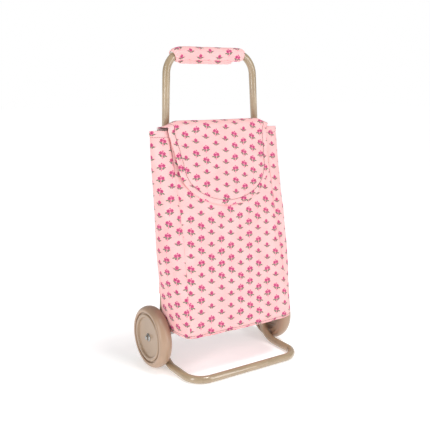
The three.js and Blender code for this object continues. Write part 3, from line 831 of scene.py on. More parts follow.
    def _weave(self) -> bpy.types.NodeTree:
        """Plain weave: threads that pass over and under each other, with uneven yarn.

        Returns:
            The group's tree.
        """
        graph, given, result = new_group(
            "plain_weave",
            {"Cloth": ("Vector", (0, 0, 0)), "Threads": ("Float", 160.0)},
            {"Height": "Float", "Tone": "Float"},
        )
        yarn = graph.node("ShaderNodeVectorMath", operation="SCALE")
        graph.feed(yarn.inputs[0], given.outputs["Cloth"])
        graph.feed(yarn.inputs["Scale"], graph.math("MULTIPLY", given.outputs["Threads"], math.pi))
        parts = graph.node("ShaderNodeSeparateXYZ")
        graph.feed(parts.inputs[0], yarn.outputs[0])
        warp, weft = graph.math("SINE", parts.outputs["X"]), graph.math("SINE", parts.outputs["Y"])
        over = graph.math("MULTIPLY", warp, weft)
        slub = graph.noise(given.outputs["Cloth"], 40.0, 2.0)
        height = graph.math("MULTIPLY_ADD", over, 0.5, graph.math("MULTIPLY", slub, 0.8))
        graph.feed(result.inputs["Height"], height)
        graph.feed(result.inputs["Tone"], slub)
        return graph.tree

    def _mottle(self) -> bpy.types.NodeTree:
        """Slow and fine variation of a moulded or coated surface, from object coordinates.

        Returns:
            The group's tree.
        """
        graph, given, result = new_group(
            "mottle",
            {"Place": ("Vector", (0, 0, 0)), "Coarse": ("Float", 18.0), "Fine": ("Float", 900.0)},
            {"Tone": "Float", "Grain": "Float"},
        )
        for key, scale, detail in (("Tone", "Coarse", 4.0), ("Grain", "Fine", 2.0)):
            texture = graph.node("ShaderNodeTexNoise")
            graph.feed(texture.inputs["Vector"], given.outputs["Place"])
            graph.feed(texture.inputs["Scale"], given.outputs[scale])
            texture.inputs["Detail"].default_value = detail
            graph.feed(result.inputs[key], texture.outputs[0])
        return graph.tree


# ---- Finishes ----


def srgb(red: int, green: int, blue: int) -> tuple[float, float, float, float]:
    """Linear colour of a screen colour.

    Args:
        red: Red from 0 to 255.
        green: Green from 0 to 255.
        blue: Blue from 0 to 255.

    Returns:
        Red, green, blue and alpha.
    """
    def linear(value: int) -> float:
        """Linear value of one channel."""
        share = value / 255
        return share / 12.92 if share <= 0.04045 else ((share + 0.055) / 1.055) ** 2.4
    return (linear(red), linear(green), linear(blue), 1.0)


def shaded(colour: tuple, factor: float) -> tuple[float, float, float, float]:
    """A colour made darker or lighter by a factor."""
    return (colour[0] * factor, colour[1] * factor, colour[2] * factor, 1.0)


def new_material(name: str) -> tuple[bpy.types.Material, Graph, bpy.types.Node]:
    """A material with its graph and its Principled shader.

    Args:
        name: The material's name.

    Returns:
        The material, its graph and its shader node.
    """
    material = bpy.data.materials.new(name)
    material.use_nodes = True
    shader = material.node_tree.nodes["Principled BSDF"]
    return material, Graph(material.node_tree), shader


def add_bump(graph: Graph, shader: bpy.types.Node, height: object, distance: float) -> None:
    """Feeds a height to the shader's normal.

    Args:
        graph: The material's graph.
        shader: Its shader node.
        height: The height's socket.
        distance: Depth of the relief in metres.
    """
    bump = graph.node("ShaderNodeBump")
    preset(bump, {"Strength": 1.0, "Distance": distance})
    graph.feed(bump.inputs["Height"], height)
    graph.feed(shader.inputs["Normal"], bump.outputs[0])


@dataclass(frozen=True)
class HardFinish:
    """A painted, moulded or metal surface with slight variation of colour and gloss."""

    name: str
    colour: tuple
    roughness: float
    metallic: float = 0.0
    coat: float = 0.0
    grain: float = 0.00004
    variation: float = 0.07
    specular: float = 0.5
    coarse: float = 18.0
    fine: float = 900.0

    def make(self, effects: Effects) -> bpy.types.Material:
        """Builds the material.

        Args:
            effects: The shared node groups.

        Returns:
            The new material.
        """
        material, graph, shader = new_material(self.name)
        place = graph.node("ShaderNodeTexCoord").outputs["Object"]
        mottle = graph.use(effects.mottle, Place=place, Coarse=self.coarse, Fine=self.fine)
        tone = mottle.outputs["Tone"]
        dark, light = shaded(self.colour, 1 - self.variation), shaded(self.colour, 1 + self.variation)
        graph.feed(shader.inputs["Base Color"], graph.blend(graph.ramp(tone, 0.3, 0.7), dark, light))
        gloss = graph.math("MULTIPLY_ADD", tone, 0.12, self.roughness - 0.06)
        graph.feed(shader.inputs["Roughness"], gloss)
        preset(shader, {"Metallic": self.metallic, "Coat Weight": self.coat, "Coat Roughness": 0.07})
        preset(shader, {"Specular IOR Level": self.specular})
        add_bump(graph, shader, mottle.outputs["Grain"], self.grain)
        return material


@dataclass(frozen=True)
class PrintedCotton:
    """Plain-weave cotton with the half-drop print of small sprigs."""

    name: str = "printed_cotton"
    cloth: tuple = srgb(251, 192, 192)
    # Shaded copy of the cloth colour, painted in as the shade of soft wrinkles.
    cloth_wrinkle_shade: tuple = srgb(248, 180, 181)
    bloom: tuple = srgb(204, 44, 124)
    heart: tuple = srgb(146, 12, 70)
    leaf: tuple = srgb(92, 116, 92)
    stem: tuple = srgb(232, 110, 150)

    def make(self, effects: Effects) -> bpy.types.Material:
        """Builds the material.

        Args:
            effects: The shared node groups.

        Returns:
            The new material.
        """
        material, graph, shader = new_material(self.name)
        cloth = graph.node("ShaderNodeUVMap", uv_map="Cloth").outputs[0]
        motif = graph.use(effects.print, Cloth=cloth)
        weave = graph.use(effects.weave, Cloth=cloth)
        # Painted shade: slow noise darkens the cloth towards its shaded copy, standing in for the shade of
        # wrinkles.
        ground = graph.blend(graph.ramp(graph.noise(cloth, 3.0, 4.0), 0.3, 0.7), self.cloth, self.cloth_wrinkle_shade)
        speckle = graph.ramp(graph.noise(cloth, 110.0, 1.0), 0.35, 0.65)
        ground = graph.blend(graph.math("MULTIPLY", speckle, 0.4), ground, srgb(255, 226, 220))
        shadow = graph.ramp(graph.noise(graph.vector("ADD", cloth, (7.0, 3.0, 0.0)), 90.0, 2.0), 0.5, 0.75)
        ground = graph.blend(graph.math("MULTIPLY", shadow, 0.5), ground, srgb(236, 160, 162))
        worn = graph.math("MULTIPLY_ADD", graph.noise(cloth, 25.0, 2.0), 0.35, 0.72, clamp=True)
        leafy = graph.blend(graph.math("MULTIPLY", motif.outputs["Leaf"], worn), ground, self.leaf)
        stemmed = graph.blend(graph.math("MULTIPLY", motif.outputs["Stem"], 0.75), leafy, self.stem)
        petals = graph.blend(graph.math("MULTIPLY", motif.outputs["Heart"], 0.8), self.bloom, self.heart)
        inked = graph.blend(graph.math("MULTIPLY", motif.outputs["Bloom"], worn), stemmed, petals)
        graph.feed(shader.inputs["Base Color"], inked)
        preset(shader, {"Roughness": 0.86, "Sheen Weight": 0.12})
        preset(shader, {"Sheen Roughness": 0.5, "Specular IOR Level": 0.25})
        add_bump(graph, shader, weave.outputs["Height"], 0.00012)
        return material


@dataclass(frozen=True)
class PlainCloth:
    """Unprinted cloth: lining, wadding and tapes."""

    name: str
    colour: tuple
    threads: float = 160.0
    relief: float = 0.00012
    fuzz: float = 30.0

    def make(self, effects: Effects) -> bpy.types.Material:
        """Builds the material.

        Args:
            effects: The shared node groups.

        Returns:
            The new material.
        """
        material, graph, shader = new_material(self.name)
        place = graph.node("ShaderNodeTexCoord").outputs["Object"]
        cloth = graph.vector("SCALE", place)
        cloth.node.inputs["Scale"].default_value = 10.0
        weave = graph.use(effects.weave, Cloth=cloth, Threads=self.threads)
        tone = graph.ramp(graph.noise(cloth, self.fuzz, 4.0), 0.3, 0.7)
        graph.feed(shader.inputs["Base Color"], graph.blend(tone, shaded(self.colour, 0.9), self.colour))
        preset(shader, {"Roughness": 0.9, "Sheen Weight": 0.15})
        add_bump(graph, shader, weave.outputs["Height"], self.relief)
        return material


class Finish(Enum):
    """Every finish on the trolley."""

    PAINT = HardFinish("painted_tube", srgb(166, 145, 116), 0.28, coat=1.0)
    WHEEL = HardFinish("wheel_plastic", srgb(164, 138, 113), 0.3, coat=0.5)
    TYRE = HardFinish("tyre_rubber", srgb(172, 143, 119), 0.34, coat=0.3, grain=0.00008)
    STEEL = HardFinish("bright_steel", srgb(168, 166, 162), 0.25, metallic=1.0, fine=400.0)
    BOARD = HardFinish("stiffener_board", srgb(158, 134, 106), 0.85, grain=0.0003, variation=0.15)
    PRINT = PrintedCotton()
    LINING = PlainCloth("bag_lining", srgb(246, 226, 224))
    WADDING = PlainCloth("wadding", srgb(240, 238, 232), threads=40.0, relief=0.0006, fuzz=60.0)
    TAPE = PlainCloth("hook_and_loop", srgb(244, 220, 218), threads=90.0, relief=0.0004, fuzz=90.0)
    # Dark thread colour, darkened further to paint the shade in the stitched groove.
    THREAD = PlainCloth("stitch_thread_and_groove_shade", srgb(98, 76, 86), threads=400.0, relief=0.00005)


class Wardrobe:
    """Makes each finish once and dresses pieces in it."""

    def __init__(self) -> None:
        """Builds the shared node groups."""
        self.effects = Effects()
        self.made: dict[Finish, bpy.types.Material] = {}

    def get(self, finish: Finish) -> bpy.types.Material:
        """The material of a finish.

        Args:
            finish: The finish wanted.

        Returns:
            Its material, made at the first call.
        """
        if finish not in self.made:
            self.made[finish] = finish.value.make(self.effects)
        return self.made[finish]

    def dress(self, piece: bpy.types.Object, *finishes: Finish) -> None:
        """Gives a piece its materials, outer face first.

        Args:
            piece: The object to dress.
            finishes: One finish for each material slot.
        """
        mesh = piece.data
        slots = [0] * len(mesh.polygons)
        if len(finishes) > 1:
            mesh.polygons.foreach_get("material_index", slots)
        mesh.materials.clear()
        for finish in finishes:
            mesh.materials.append(self.get(finish))
        mesh.polygons.foreach_set("material_index", slots)


# ---- Stitching ----


@dataclass
class Stitcher:
    """Rows of thread stitches made by one Geometry Nodes tree."""

    length: float = 2.5
    pitch: float = 3.0
    thickness: float = 0.85
    tree: bpy.types.NodeTree | None = field(default=None, repr=False)

    def build_tree(self, material: bpy.types.Material) -> None:
        """Builds the tree: evenly spaced thread beads along every line of the mesh.

        Args:
            material: The thread's material, whose dark colour also paints the shade of the stitched groove.
        """
        tree = bpy.data.node_groups.new("stitch_rows", "GeometryNodeTree")
        face = tree.interface
        face.new_socket("Lines", in_out="INPUT", socket_type="NodeSocketGeometry")
        for key, value in (("Pitch", self.pitch), ("Length", self.length), ("Thickness", self.thickness)):
            socket = face.new_socket(key, in_out="INPUT", socket_type="NodeSocketFloat")
            socket.default_value = value * MM
        face.new_socket("Stitches", in_out="OUTPUT", socket_type="NodeSocketGeometry")
        graph = Graph(tree)
        given, result = graph.node("NodeGroupInput"), graph.node("NodeGroupOutput")
        curve = graph.node("GeometryNodeMeshToCurve")
        graph.feed(curve.inputs["Mesh"], given.outputs["Lines"])
        places = graph.node("GeometryNodeCurveToPoints", mode="LENGTH")
        graph.feed(places.inputs["Curve"], curve.outputs[0])
        graph.feed(places.inputs["Length"], given.outputs["Pitch"])
        bead = graph.node("GeometryNodeMeshUVSphere")
        preset(bead, {"Segments": 6, "Rings": 5, "Radius": 0.5})
        size = graph.node("ShaderNodeCombineXYZ")
        for axis, key in (("X", "Thickness"), ("Y", "Thickness"), ("Z", "Length")):
            graph.feed(size.inputs[axis], given.outputs[key])
        copies = graph.node("GeometryNodeInstanceOnPoints")
        graph.feed(copies.inputs["Points"], places.outputs["Points"])
        graph.feed(copies.inputs["Instance"], bead.outputs["Mesh"])
        graph.feed(copies.inputs["Rotation"], places.outputs["Rotation"])
        graph.feed(copies.inputs["Scale"], size.outputs[0])
        real = graph.node("GeometryNodeRealizeInstances")
        graph.feed(real.inputs[0], copies.outputs[0])
        dressed = graph.node("GeometryNodeSetMaterial")
        graph.feed(dressed.inputs["Geometry"], real.outputs[0])
        dressed.inputs["Material"].default_value = material
        graph.feed(result.inputs[0], dressed.outputs[0])
        self.tree = tree

    def sew(self, name: str, lines: Sequence[Grid]) -> bpy.types.Object:
        """Sews along lines of points in row millimetres.

        Args:
            name: The piece's name.
            lines: One array of points for each row of stitches.

        Returns:
            A plain mesh of all the stitches.
        """
        points, edges = [], []
        for line in lines:
            start = len(points)
            points += (np.asarray(line) * MM).tolist()
            edges += [(start + i, start + i + 1) for i in range(len(line) - 1)]
        mesh = bpy.data.meshes.new(name + "_lines")
        mesh.from_pydata(points, edges, [])
        guide = linked(name + "_lines", mesh)
        modifier = guide.modifiers.new("stitches", "NODES")
        modifier.node_group = self.tree
        for item in self.tree.interface.items_tree:
            if item.item_type == "SOCKET" and item.in_out == "INPUT" and item.name == "Pitch":
                modifier[item.identifier] = self.pitch * MM
        bpy.context.view_layer.update()
        graph = bpy.context.evaluated_depsgraph_get()
        made = bpy.data.meshes.new_from_object(guide.evaluated_get(graph))
        bpy.data.objects.remove(guide)
        bpy.data.meshes.remove(mesh)
        made.name = name
        made.polygons.foreach_set("use_smooth", [True] * len(made.polygons))
        return linked(name, made)


# ---- Frame ----


@dataclass
class TubeFrame:
    """The bent tubes with the screws and nuts of their splices."""

    wardrobe: Wardrobe
    handle_bend: float = 40.0
    foot_bend: float = 40.0
    loop_corner: float = 33.0
    splice: float = 300.0
    splice_gap: float = 0.3
    screw_depth: float = 22.0
    end_ease: float = 0.35
    near_end_ease: float = 0.1
    ease_share: float = 0.002
    section_up: tuple[float, float, float] = (0.31, 0.95, 0.05)
    shank_radius: float = 2.3
    shank_tip: float = 5.0
    head_radius: float = 4.5
    head_seat: float = 0.3
    head_edge: float = 2.2
    head_crown: float = 3.3
    recess_depth: float = 1.1
    nut_bore: float = 2.7
    nut_half_flat: float = 4.0
    sides: int = 32

    def build(self) -> None:
        """Makes both tubes and the fasteners."""
        self._tube("frame_tube_lower", self._lower_route(), "lower_frame_tube")
        self._tube("frame_tube_upper", self._upper_route(), "upper_frame_tube")
        for side, label in ((-1, "left"), (1, "right")):
            self._screw(side, label)
            self._nut(side, label)

    def _tube(self, name: str, route: Grid, node: str) -> None:
        """Sweeps one tube with slightly eased ends.

        Args:
            name: The piece's name.
            route: The tube's axis.
            node: The CAD node that it stands for.
        """
        def section(share: float) -> Grid:
            """The tube's outline, eased at the ends.

            Args:
                share: Share of the route.

            Returns:
                The outline's points.
            """
            end = min(share, 1 - share)
            ease = self.near_end_ease if end <= self.ease_share else 0.0
            return circle(LEGS.floor_axis - (self.end_ease if end <= 1e-9 else ease), self.sides)

        piece = swept(name, route, section, self.section_up)
        self.wardrobe.dress(piece, Finish.PAINT)
        placed(piece, "frame", "painted_tube", node)

    def _lower_route(self) -> Grid:
        """The two legs' lower halves and the loop on the floor.

        Returns:
            Points of the tube's axis.
        """
        floor = LEGS.floor_axis
        half = LEGS.foot_span / 2
        tops = LEGS.place([[side * LEGS.across(self.splice), 0, self.splice] for side in (-1, 1)])
        corners = [
            tops[0],
            (-half, LEGS.foot, floor),
            (-half, LEGS.foot - LEGS.loop_reach, floor),
            (half, LEGS.foot - LEGS.loop_reach, floor),
            (half, LEGS.foot, floor),
            tops[1],
        ]
        radii = (self.foot_bend, self.loop_corner, self.loop_corner, self.foot_bend)
        return filleted(corners, radii, 18)

    def _upper_route(self) -> Grid:
        """The grip's bar and the legs' upper halves.

        Returns:
            Points of the tube's axis.
        """
        start = self.splice + self.splice_gap
        half = LEGS.handle_span / 2
        flat = [
            (-LEGS.across(start), 0, start),
            (-half, 0, LEGS.length),
            (half, 0, LEGS.length),
            (LEGS.across(start), 0, start),
        ]
        return LEGS.place(filleted(flat, (self.handle_bend, self.handle_bend), 20))

    def _leg_matrix(self, side: int) -> Matrix:
        """Placement whose X axis points outwards from a leg at the splice screw.

        Args:
            side: -1 for left and 1 for right.

        Returns:
            The placement in metres.
        """
        rise = self.splice - self.screw_depth
        origin = LEGS.place([[side * LEGS.across(rise), 0, rise]])[0]
        lean = Matrix.Rotation(-LEGS.lean, 4, "X")
        splay = Matrix.Rotation(-side * LEGS.splay, 4, "Y")
        turn = Matrix.Rotation(0 if side > 0 else math.pi, 4, "Z")
        return Matrix.Translation(Vector(origin) * MM) @ lean @ splay @ turn

    def _screw(self, side: int, label: str) -> None:
        """A pan-head screw with a cross recess, its head on the leg's outer side.

        Args:
            side: -1 for left and 1 for right.
            label: left or right.
        """
        radius = LEGS.tube_radius
        tip, seat, crown = -radius - self.shank_tip, radius + self.head_seat, radius + self.head_crown
        profile = filleted([
            (0, tip), (self.shank_radius, tip), (self.shank_radius, seat), (self.head_radius, seat),
            (self.head_radius, radius + self.head_edge), (0, crown)], (0.4, 0, 0.2, 1.0), 5)
        piece = turned(f"splice_bolt_{label}", profile, (0, 0, 0), 1, 32)
        self._recess(piece, crown)
        self._finish(piece, side, label, "splice_screw")

    def _recess(self, piece: bpy.types.Object, face: float) -> None:
        """Presses a cross-shaped driver recess into the head.

        Args:
            piece: The screw, its head towards +X.
            face: Distance of the head's crown.
        """
        for vertex in piece.data.vertices:
            x, y, z = vertex.co / MM
            if x > face - 1.4:
                arm = min(abs(y), abs(z))
                reach = math.hypot(y, z)
                sink = smooth((0.75 - arm) / 0.4) * smooth((2.6 - reach) / 0.5)
                vertex.co.x -= self.recess_depth * sink * MM

    def _nut(self, side: int, label: str) -> None:
        """A hexagon nut with chamfered corners on the leg's inner side.

        Args:
            side: -1 for left and 1 for right.
            label: left or right.
        """
        seat = -LEGS.tube_radius - 0.3
        profile = [
            (self.nut_bore, seat - 5), (4.1, seat - 5), (4.9, seat - 4.4),
            (4.9, seat - 0.6), (4.1, seat), (self.nut_bore, seat),
        ]
        piece = turned(f"splice_hex_nut_{label}", np.array(profile + profile[:1]), (0, 0, 0), 1, 48)
        for vertex in piece.data.vertices:
            reach = math.hypot(vertex.co.y, vertex.co.z) / MM
            angle = math.atan2(vertex.co.z, vertex.co.y)
            flat = self.nut_half_flat / math.cos((angle + math.pi / 6) % (math.pi / 3) - math.pi / 6)
            if reach > flat:
                vertex.co.y *= flat / reach
                vertex.co.z *= flat / reach
        self._finish(piece, side, label, "splice_nut")

    def _finish(self, piece: bpy.types.Object, side: int, label: str, node: str) -> None:
        """Places a fastener on its leg.

        Args:
            piece: The fastener, laid along X.
            side: -1 for left and 1 for right.
            label: left or right.
            node: First part of the CAD node's name.
        """
        piece.data.transform(self._leg_matrix(side))
        tidy(piece)
        soften(piece, 35)
        self.wardrobe.dress(piece, Finish.STEEL)
        placed(piece, "frame", "bright_steel", f"{node}_{label}")


# ---- Wheels ----


@dataclass
class WheelPair:
    """The two moulded wheels, their tyres, the axle and the caps that hold them on."""

    wardrobe: Wardrobe
    radius: float = 56.28
    width: float = 24.5
    tyre_depth: float = 10.5
    groove: float = 2.2
    rim_ring: float = 8.5
    web_recess: float = 4.0
    web_thickness: float = 5.0
    hub_radius: float = 11.0
    axle_radius: float = 4.0
    axle_chamfer: float = 0.9
    tongues: int = 5
    tongue_reach: float = 5.6
    tongue_slit: float = 0.28
    tongue_press: float = 1.1
    segments: int = 112

    def build(self) -> None:
        """Makes the axle and each side's pieces."""
        self._axle()
        for side, label in ((-1, "left"), (1, "right")):
            self._disc(side, label)
            self._tyre(side, label)
            self._cap(side, label)
            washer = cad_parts[f"wheel_washer_{label}"]
            self.wardrobe.dress(washer, Finish.WHEEL)

    @cached_property
    def centre(self) -> tuple[float, float, float]:
        """The axle's middle, in row millimetres."""
        low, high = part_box("axle")
        return (0.0, (low.y + high.y) / 2 / MM, (low.z + high.z) / 2 / MM)

    def _inner_face(self) -> float:
        """Distance of the wheels' inner faces from the middle."""
        return float(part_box("tyre_right")[0].x) / MM

    def _dress(self, piece: bpy.types.Object, finish: Finish, node: str, body: str, slot: str) -> None:
        """Finishes one turned piece.

        Args:
            piece: The piece.
            finish: Its finish.
            node: The CAD node that it stands for.
            body: The body that it moves with.
            slot: The name of its material slot.
        """
        soften(piece, 40)
        self.wardrobe.dress(piece, finish)
        placed(piece, body, slot, node)

    def _disc(self, side: int, label: str) -> None:
        """The wheel's centre: hub, recessed web and rounded rim ring.

        Args:
            side: -1 for left and 1 for right.
            label: left or right.
        """
        start = self._inner_face()
        seat = self.radius - self.tyre_depth - 0.3
        ring = seat - self.rim_ring
        outer = self.width
        web = outer - self.web_recess
        bore = self.axle_radius + 0.3
        profile = filleted([
            (bore, 0), (self.hub_radius, 0), (self.hub_radius, web - self.web_thickness),
            (ring - 7, web - self.web_thickness), (ring - 7, web - self.web_thickness - 2.5),
            (ring, web - self.web_thickness - 2.5), (ring, 2), (seat, 2),
            (seat, outer - 3.0), (seat - self.groove, outer - 3.0), (seat - self.groove, outer - 0.2),
            (ring, outer - 0.2), (ring - 1.2, web), (bore, web), (bore, 0.001),
        ], (0.8, 1.5, 0.8, 0.8, 1.5, 1.8, 0.8, 0.3, 0.2, 2.4, 2.6, 1.6, 0.2), 6)
        place = (side * start, *self.centre[1:])
        piece = turned(f"wheel_centre_{label}", profile, place, side, self.segments)
        self._dress(piece, Finish.WHEEL, f"wheel_disc_{label}", f"wheel_{label}", "wheel_plastic")

    def _tyre(self, side: int, label: str) -> None:
        """A broad round tyre whose lip stands proud of the rim's groove.

        Args:
            side: -1 for left and 1 for right.
            label: left or right.
        """
        seat = self.radius - self.tyre_depth
        half = self.width / 2
        angles = np.linspace(0, math.pi, 25)
        crown_depth = self.tyre_depth - 1.4
        arc = [(seat + 1.4 + crown_depth * math.sin(a) ** 0.8, half - half * math.cos(a)) for a in angles]
        profile = filleted(
            [(seat, 2.2), (seat + 0.2, 0.35), *arc[1:-1], (seat + 0.2, self.width - 0.35),
             (seat, self.width - 2.2), (seat, 2.201)],
            (0.8,) + (0,) * (len(arc) - 2) + (0.8, 0), 4)
        place = (side * self._inner_face(), *self.centre[1:])
        piece = turned(f"wheel_tread_{label}", profile, place, side, self.segments)
        self._dress(piece, Finish.TYRE, f"tyre_{label}", f"wheel_{label}", "tyre_rubber")

    def _axle(self) -> None:
        """The rod, with chamfered ends."""
        reach = float(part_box("axle")[1].x) / MM
        radius = self.axle_radius
        corners = [(0, -reach), (radius, -reach), (radius, reach), (0, reach)]
        profile = filleted(corners, (self.axle_chamfer, self.axle_chamfer), 5)
        piece = turned("axle_rod", profile, self.centre, 1, 40)
        self._dress(piece, Finish.STEEL, "axle", "frame", "bright_steel")

    def _cap(self, side: int, label: str) -> None:
        """A pressed push nut with bent locking tongues round the axle.

        Args:
            side: -1 for left and 1 for right.
            label: left or right.
        """
        low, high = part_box(f"push_nut_{label}")
        face = (low.x if side > 0 else -high.x) / MM
        profile = filleted([
            (4.3, 1.7), (4.5, 2.2), (5.6, 1.3), (7.2, 0.5),
            (7.6, 0.0), (7.1, -0.15), (5.4, 0.7), (4.3, 1.701),
        ], (0.1, 0.4, 0.4, 0.2, 0.2, 0.3), 3)
        piece = turned(f"axle_cap_{label}", profile, (side * face, *self.centre[1:]), side, 96)
        for vertex in piece.data.vertices:
            away_y = vertex.co.y / MM - self.centre[1]
            away_z = vertex.co.z / MM - self.centre[2]
            reach = math.hypot(away_y, away_z)
            slit = abs(math.sin(math.atan2(away_z, away_y) * self.tongues / 2))
            if reach < self.tongue_reach and slit < self.tongue_slit:
                vertex.co.x -= side * self.tongue_press * MM * (1 - slit / self.tongue_slit)
        self._dress(piece, Finish.STEEL, f"push_nut_{label}", "frame", "bright_steel")


# ---- Bag ----


def off_grain(run: Grid, rise: Grid, shift: Point, degrees: float = 7.8) -> Grid:
    """Cloth coordinates of a panel cut a little off the straight grain.

    Args:
        run: Distance across the panel.
        rise: Distance up the panel.
        shift: Where the print starts.
        degrees: Turn of the print in the panel.

    Returns:
        U and V in cloth millimetres.
    """
    cosine, sine = math.cos(math.radians(degrees)), math.sin(math.radians(degrees))
    u = run * cosine - rise * sine + shift[0]
    v = run * sine + rise * cosine + shift[1]
    return np.stack([u, v], axis=-1)


class Panel(Enum):
    """The kinds of wall panel, each with the place where its print starts."""

    FRONT = (2.5, -2.4)
    SIDE = (14.0, 9.0)
    BACK = (40.0, 6.0)


@dataclass
class Bag:
    """The sewn cloth bag: front, back, two side panels and base, with hem and stitching."""

    wardrobe: Wardrobe
    stitcher: Stitcher
    thickness: float = 1.3
    hem: float = 11.0
    back_top: float = 424.3
    seam_sink: float = 0.7
    seam_width: float = 2.2
    corner_cut: float = 4.2
    corner_reach: float = 20.0
    base_sag: float = 3.0
    base_turn: float = 3.4
    base_roll: float = 11.0
    stitch_above_base: float = 4.5
    stitch_stand: float = 0.15
    side_area_share: float = 0.6
    row_spread: float = 0.8

    def build(self) -> None:
        """Makes every panel and then their stitches."""
        rises = self._rises()
        front, back = self._front_points, self._back_points
        self._panel("bag_front_cloth", "bag_front", rises, front, 90, (218, 365), Panel.FRONT)
        for side, label in ((-1, "left"), (1, "right")):
            maker = self._side_maker(side)
            name, node = f"bag_side_cloth_{label}", f"bag_side_{label}"
            self._panel(name, node, rises, maker, 34, (125, 365), Panel.SIDE, side < 0)
        rises = rises + [self.back_top]
        self._panel("bag_back_cloth", "bag_back", rises, back, 60, (238, 365), Panel.BACK)
        self._base()
        self._stitches()

    def _rises(self) -> list[float]:
        """Heights of the grid's rows, closer together at the base and the hem.

        Returns:
            Heights up the legs, from the base to the mouth.
        """
        low = np.linspace(BAG.bottom, BAG.bottom + 12, 9)[:-1]
        middle = np.linspace(BAG.bottom + 12, BAG.top - self.hem - 4, 90)
        top = np.linspace(BAG.top - self.hem - 4, BAG.top, 19)[1:]
        return [*low, *middle, *top]

    def _seam_dip(self, distance: float) -> float:
        """How far cloth is pulled in at a distance from a seam."""
        return self.seam_sink * math.exp(-max(distance, 0.0) / self.seam_width)

    def _corner(self, distance: float) -> float:
        """How far a wall is rounded inwards near an upright seam."""
        return self.corner_cut * max(1 - max(distance, 0.0) / self.corner_reach, 0.0) ** 2

    def _pucker(self, distance: float, along: float, seed: float) -> float:
        """Small gathers that a line of stitching leaves in the cloth beside it."""
        wave = math.sin(along / 4.1 + 2.2 * relief(along, distance, 19.0, seed))
        return 0.35 * wave * math.exp(-max(distance, 0.0) / 5.0)

    def _hem_step(self, rise: float) -> float:
        """The doubled hem stands out a little above a stitched valley."""
        below = BAG.top - self.hem - rise
        return 0.75 * smooth(-below / 1.4) - 0.9 * bell(below, 1.1)

    def _round_base(self, rise: float) -> float:
        """The walls turn in towards the base seam."""
        height = rise - BAG.bottom
        return -self.base_turn * (1 - smooth(height / self.base_roll)) ** 1.4

    def _front_points(self, across: float, rise: float) -> tuple[float, float, float]:
        """One point of the front panel; across runs from -1 to 1.

        Args:
            across: -1 at the left seam and 1 at the right seam.
            rise: Height up the legs.

        Returns:
            Across, depth and rise.
        """
        half = BAG.front_edge(rise)
        x = across * half
        depth = BAG.front_depth(x, rise)
        edge = half - abs(x)
        share = BAG.share(rise)
        swell = 1.9 * relief(x, rise, 85.0, 4.0) + 0.9 * relief(x, rise, 38.0, 9.0)
        swell += 1.3 * relief(x * 2.2, rise, 60.0, 15.0) * (1 - share)
        swell *= smooth(edge / 22.0) * smooth((BAG.top - rise) / 60.0)
        corner = 3.2 * bell(x - 80, 34) * bell(rise - 96, 34)
        depth += swell + corner + self._hem_step(rise) + self._round_base(rise)
        depth += self._pucker(edge, rise, 2.0) + self._pucker(rise - BAG.bottom, x, 5.0)
        cut = self._corner(edge) * min(BAG.depth(rise) / 60.0, 1.0)
        return x - math.copysign(cut, x), depth - self._seam_dip(edge) - cut, rise

    def _side_maker(self, side: int) -> Callable[[float, float], tuple[float, float, float]]:
        """Gives the function for one side panel's points; across runs from the front seam to the back.

        Args:
            side: -1 for left and 1 for right.

        Returns:
            A function of across, from -1 to 1, and rise.
        """
        def point(across: float, rise: float) -> tuple[float, float, float]:
            """One point of the side panel.

            Args:
                across: -1 at the front seam and 1 at the back seam.
                rise: Height up the legs.

            Returns:
                Across, depth and rise.
            """
            angle = across * math.pi / 2
            share = BAG.share(rise)
            front, back = BAG.front_edge(rise), BAG.back_half
            turn = (1 + math.sin(angle)) / 2
            edge = front + (back - front) * turn
            bulge = BAG.crease(rise) - (front + back) / 2
            power = 1.0 - 0.25 * share
            out = bulge * max(math.cos(angle), 0.0) ** power
            depth = BAG.back + BAG.depth(rise) * (1 - turn)
            seam = min(turn, 1 - turn) * (BAG.depth(rise) + 2 * bulge)
            swell = 1.5 * relief(depth + side * 40, rise, 48.0, 21.0 + side) * smooth(seam / 14.0)
            swell += self._hem_step(rise) + self._round_base(rise) * 0.8
            swell += self._pucker(seam, rise, 8.0 + side) - self._seam_dip(seam) * 0.8
            cut = self._corner(turn * (BAG.depth(rise) + 2 * bulge)) * min(BAG.depth(rise) / 60.0, 1.0)
            return side * (edge + out + swell - cut), depth - cut, rise
        return point

    def _back_points(self, across: float, rise: float) -> tuple[float, float, float]:
        """One point of the back panel, whose outer face is towards the legs.

        Args:
            across: -1 at the left seam and 1 at the right seam.
            rise: Height up the legs.

        Returns:
            Across, depth and rise.
        """
        x = across * BAG.back_half
        edge = BAG.back_half - abs(x)
        swell = 0.35 * relief(x, rise, 50.0, 31.0) * smooth(edge / 12.0)
        depth = BAG.back + 0.35 - swell + self._seam_dip(edge) * 0.5
        return x, depth, rise

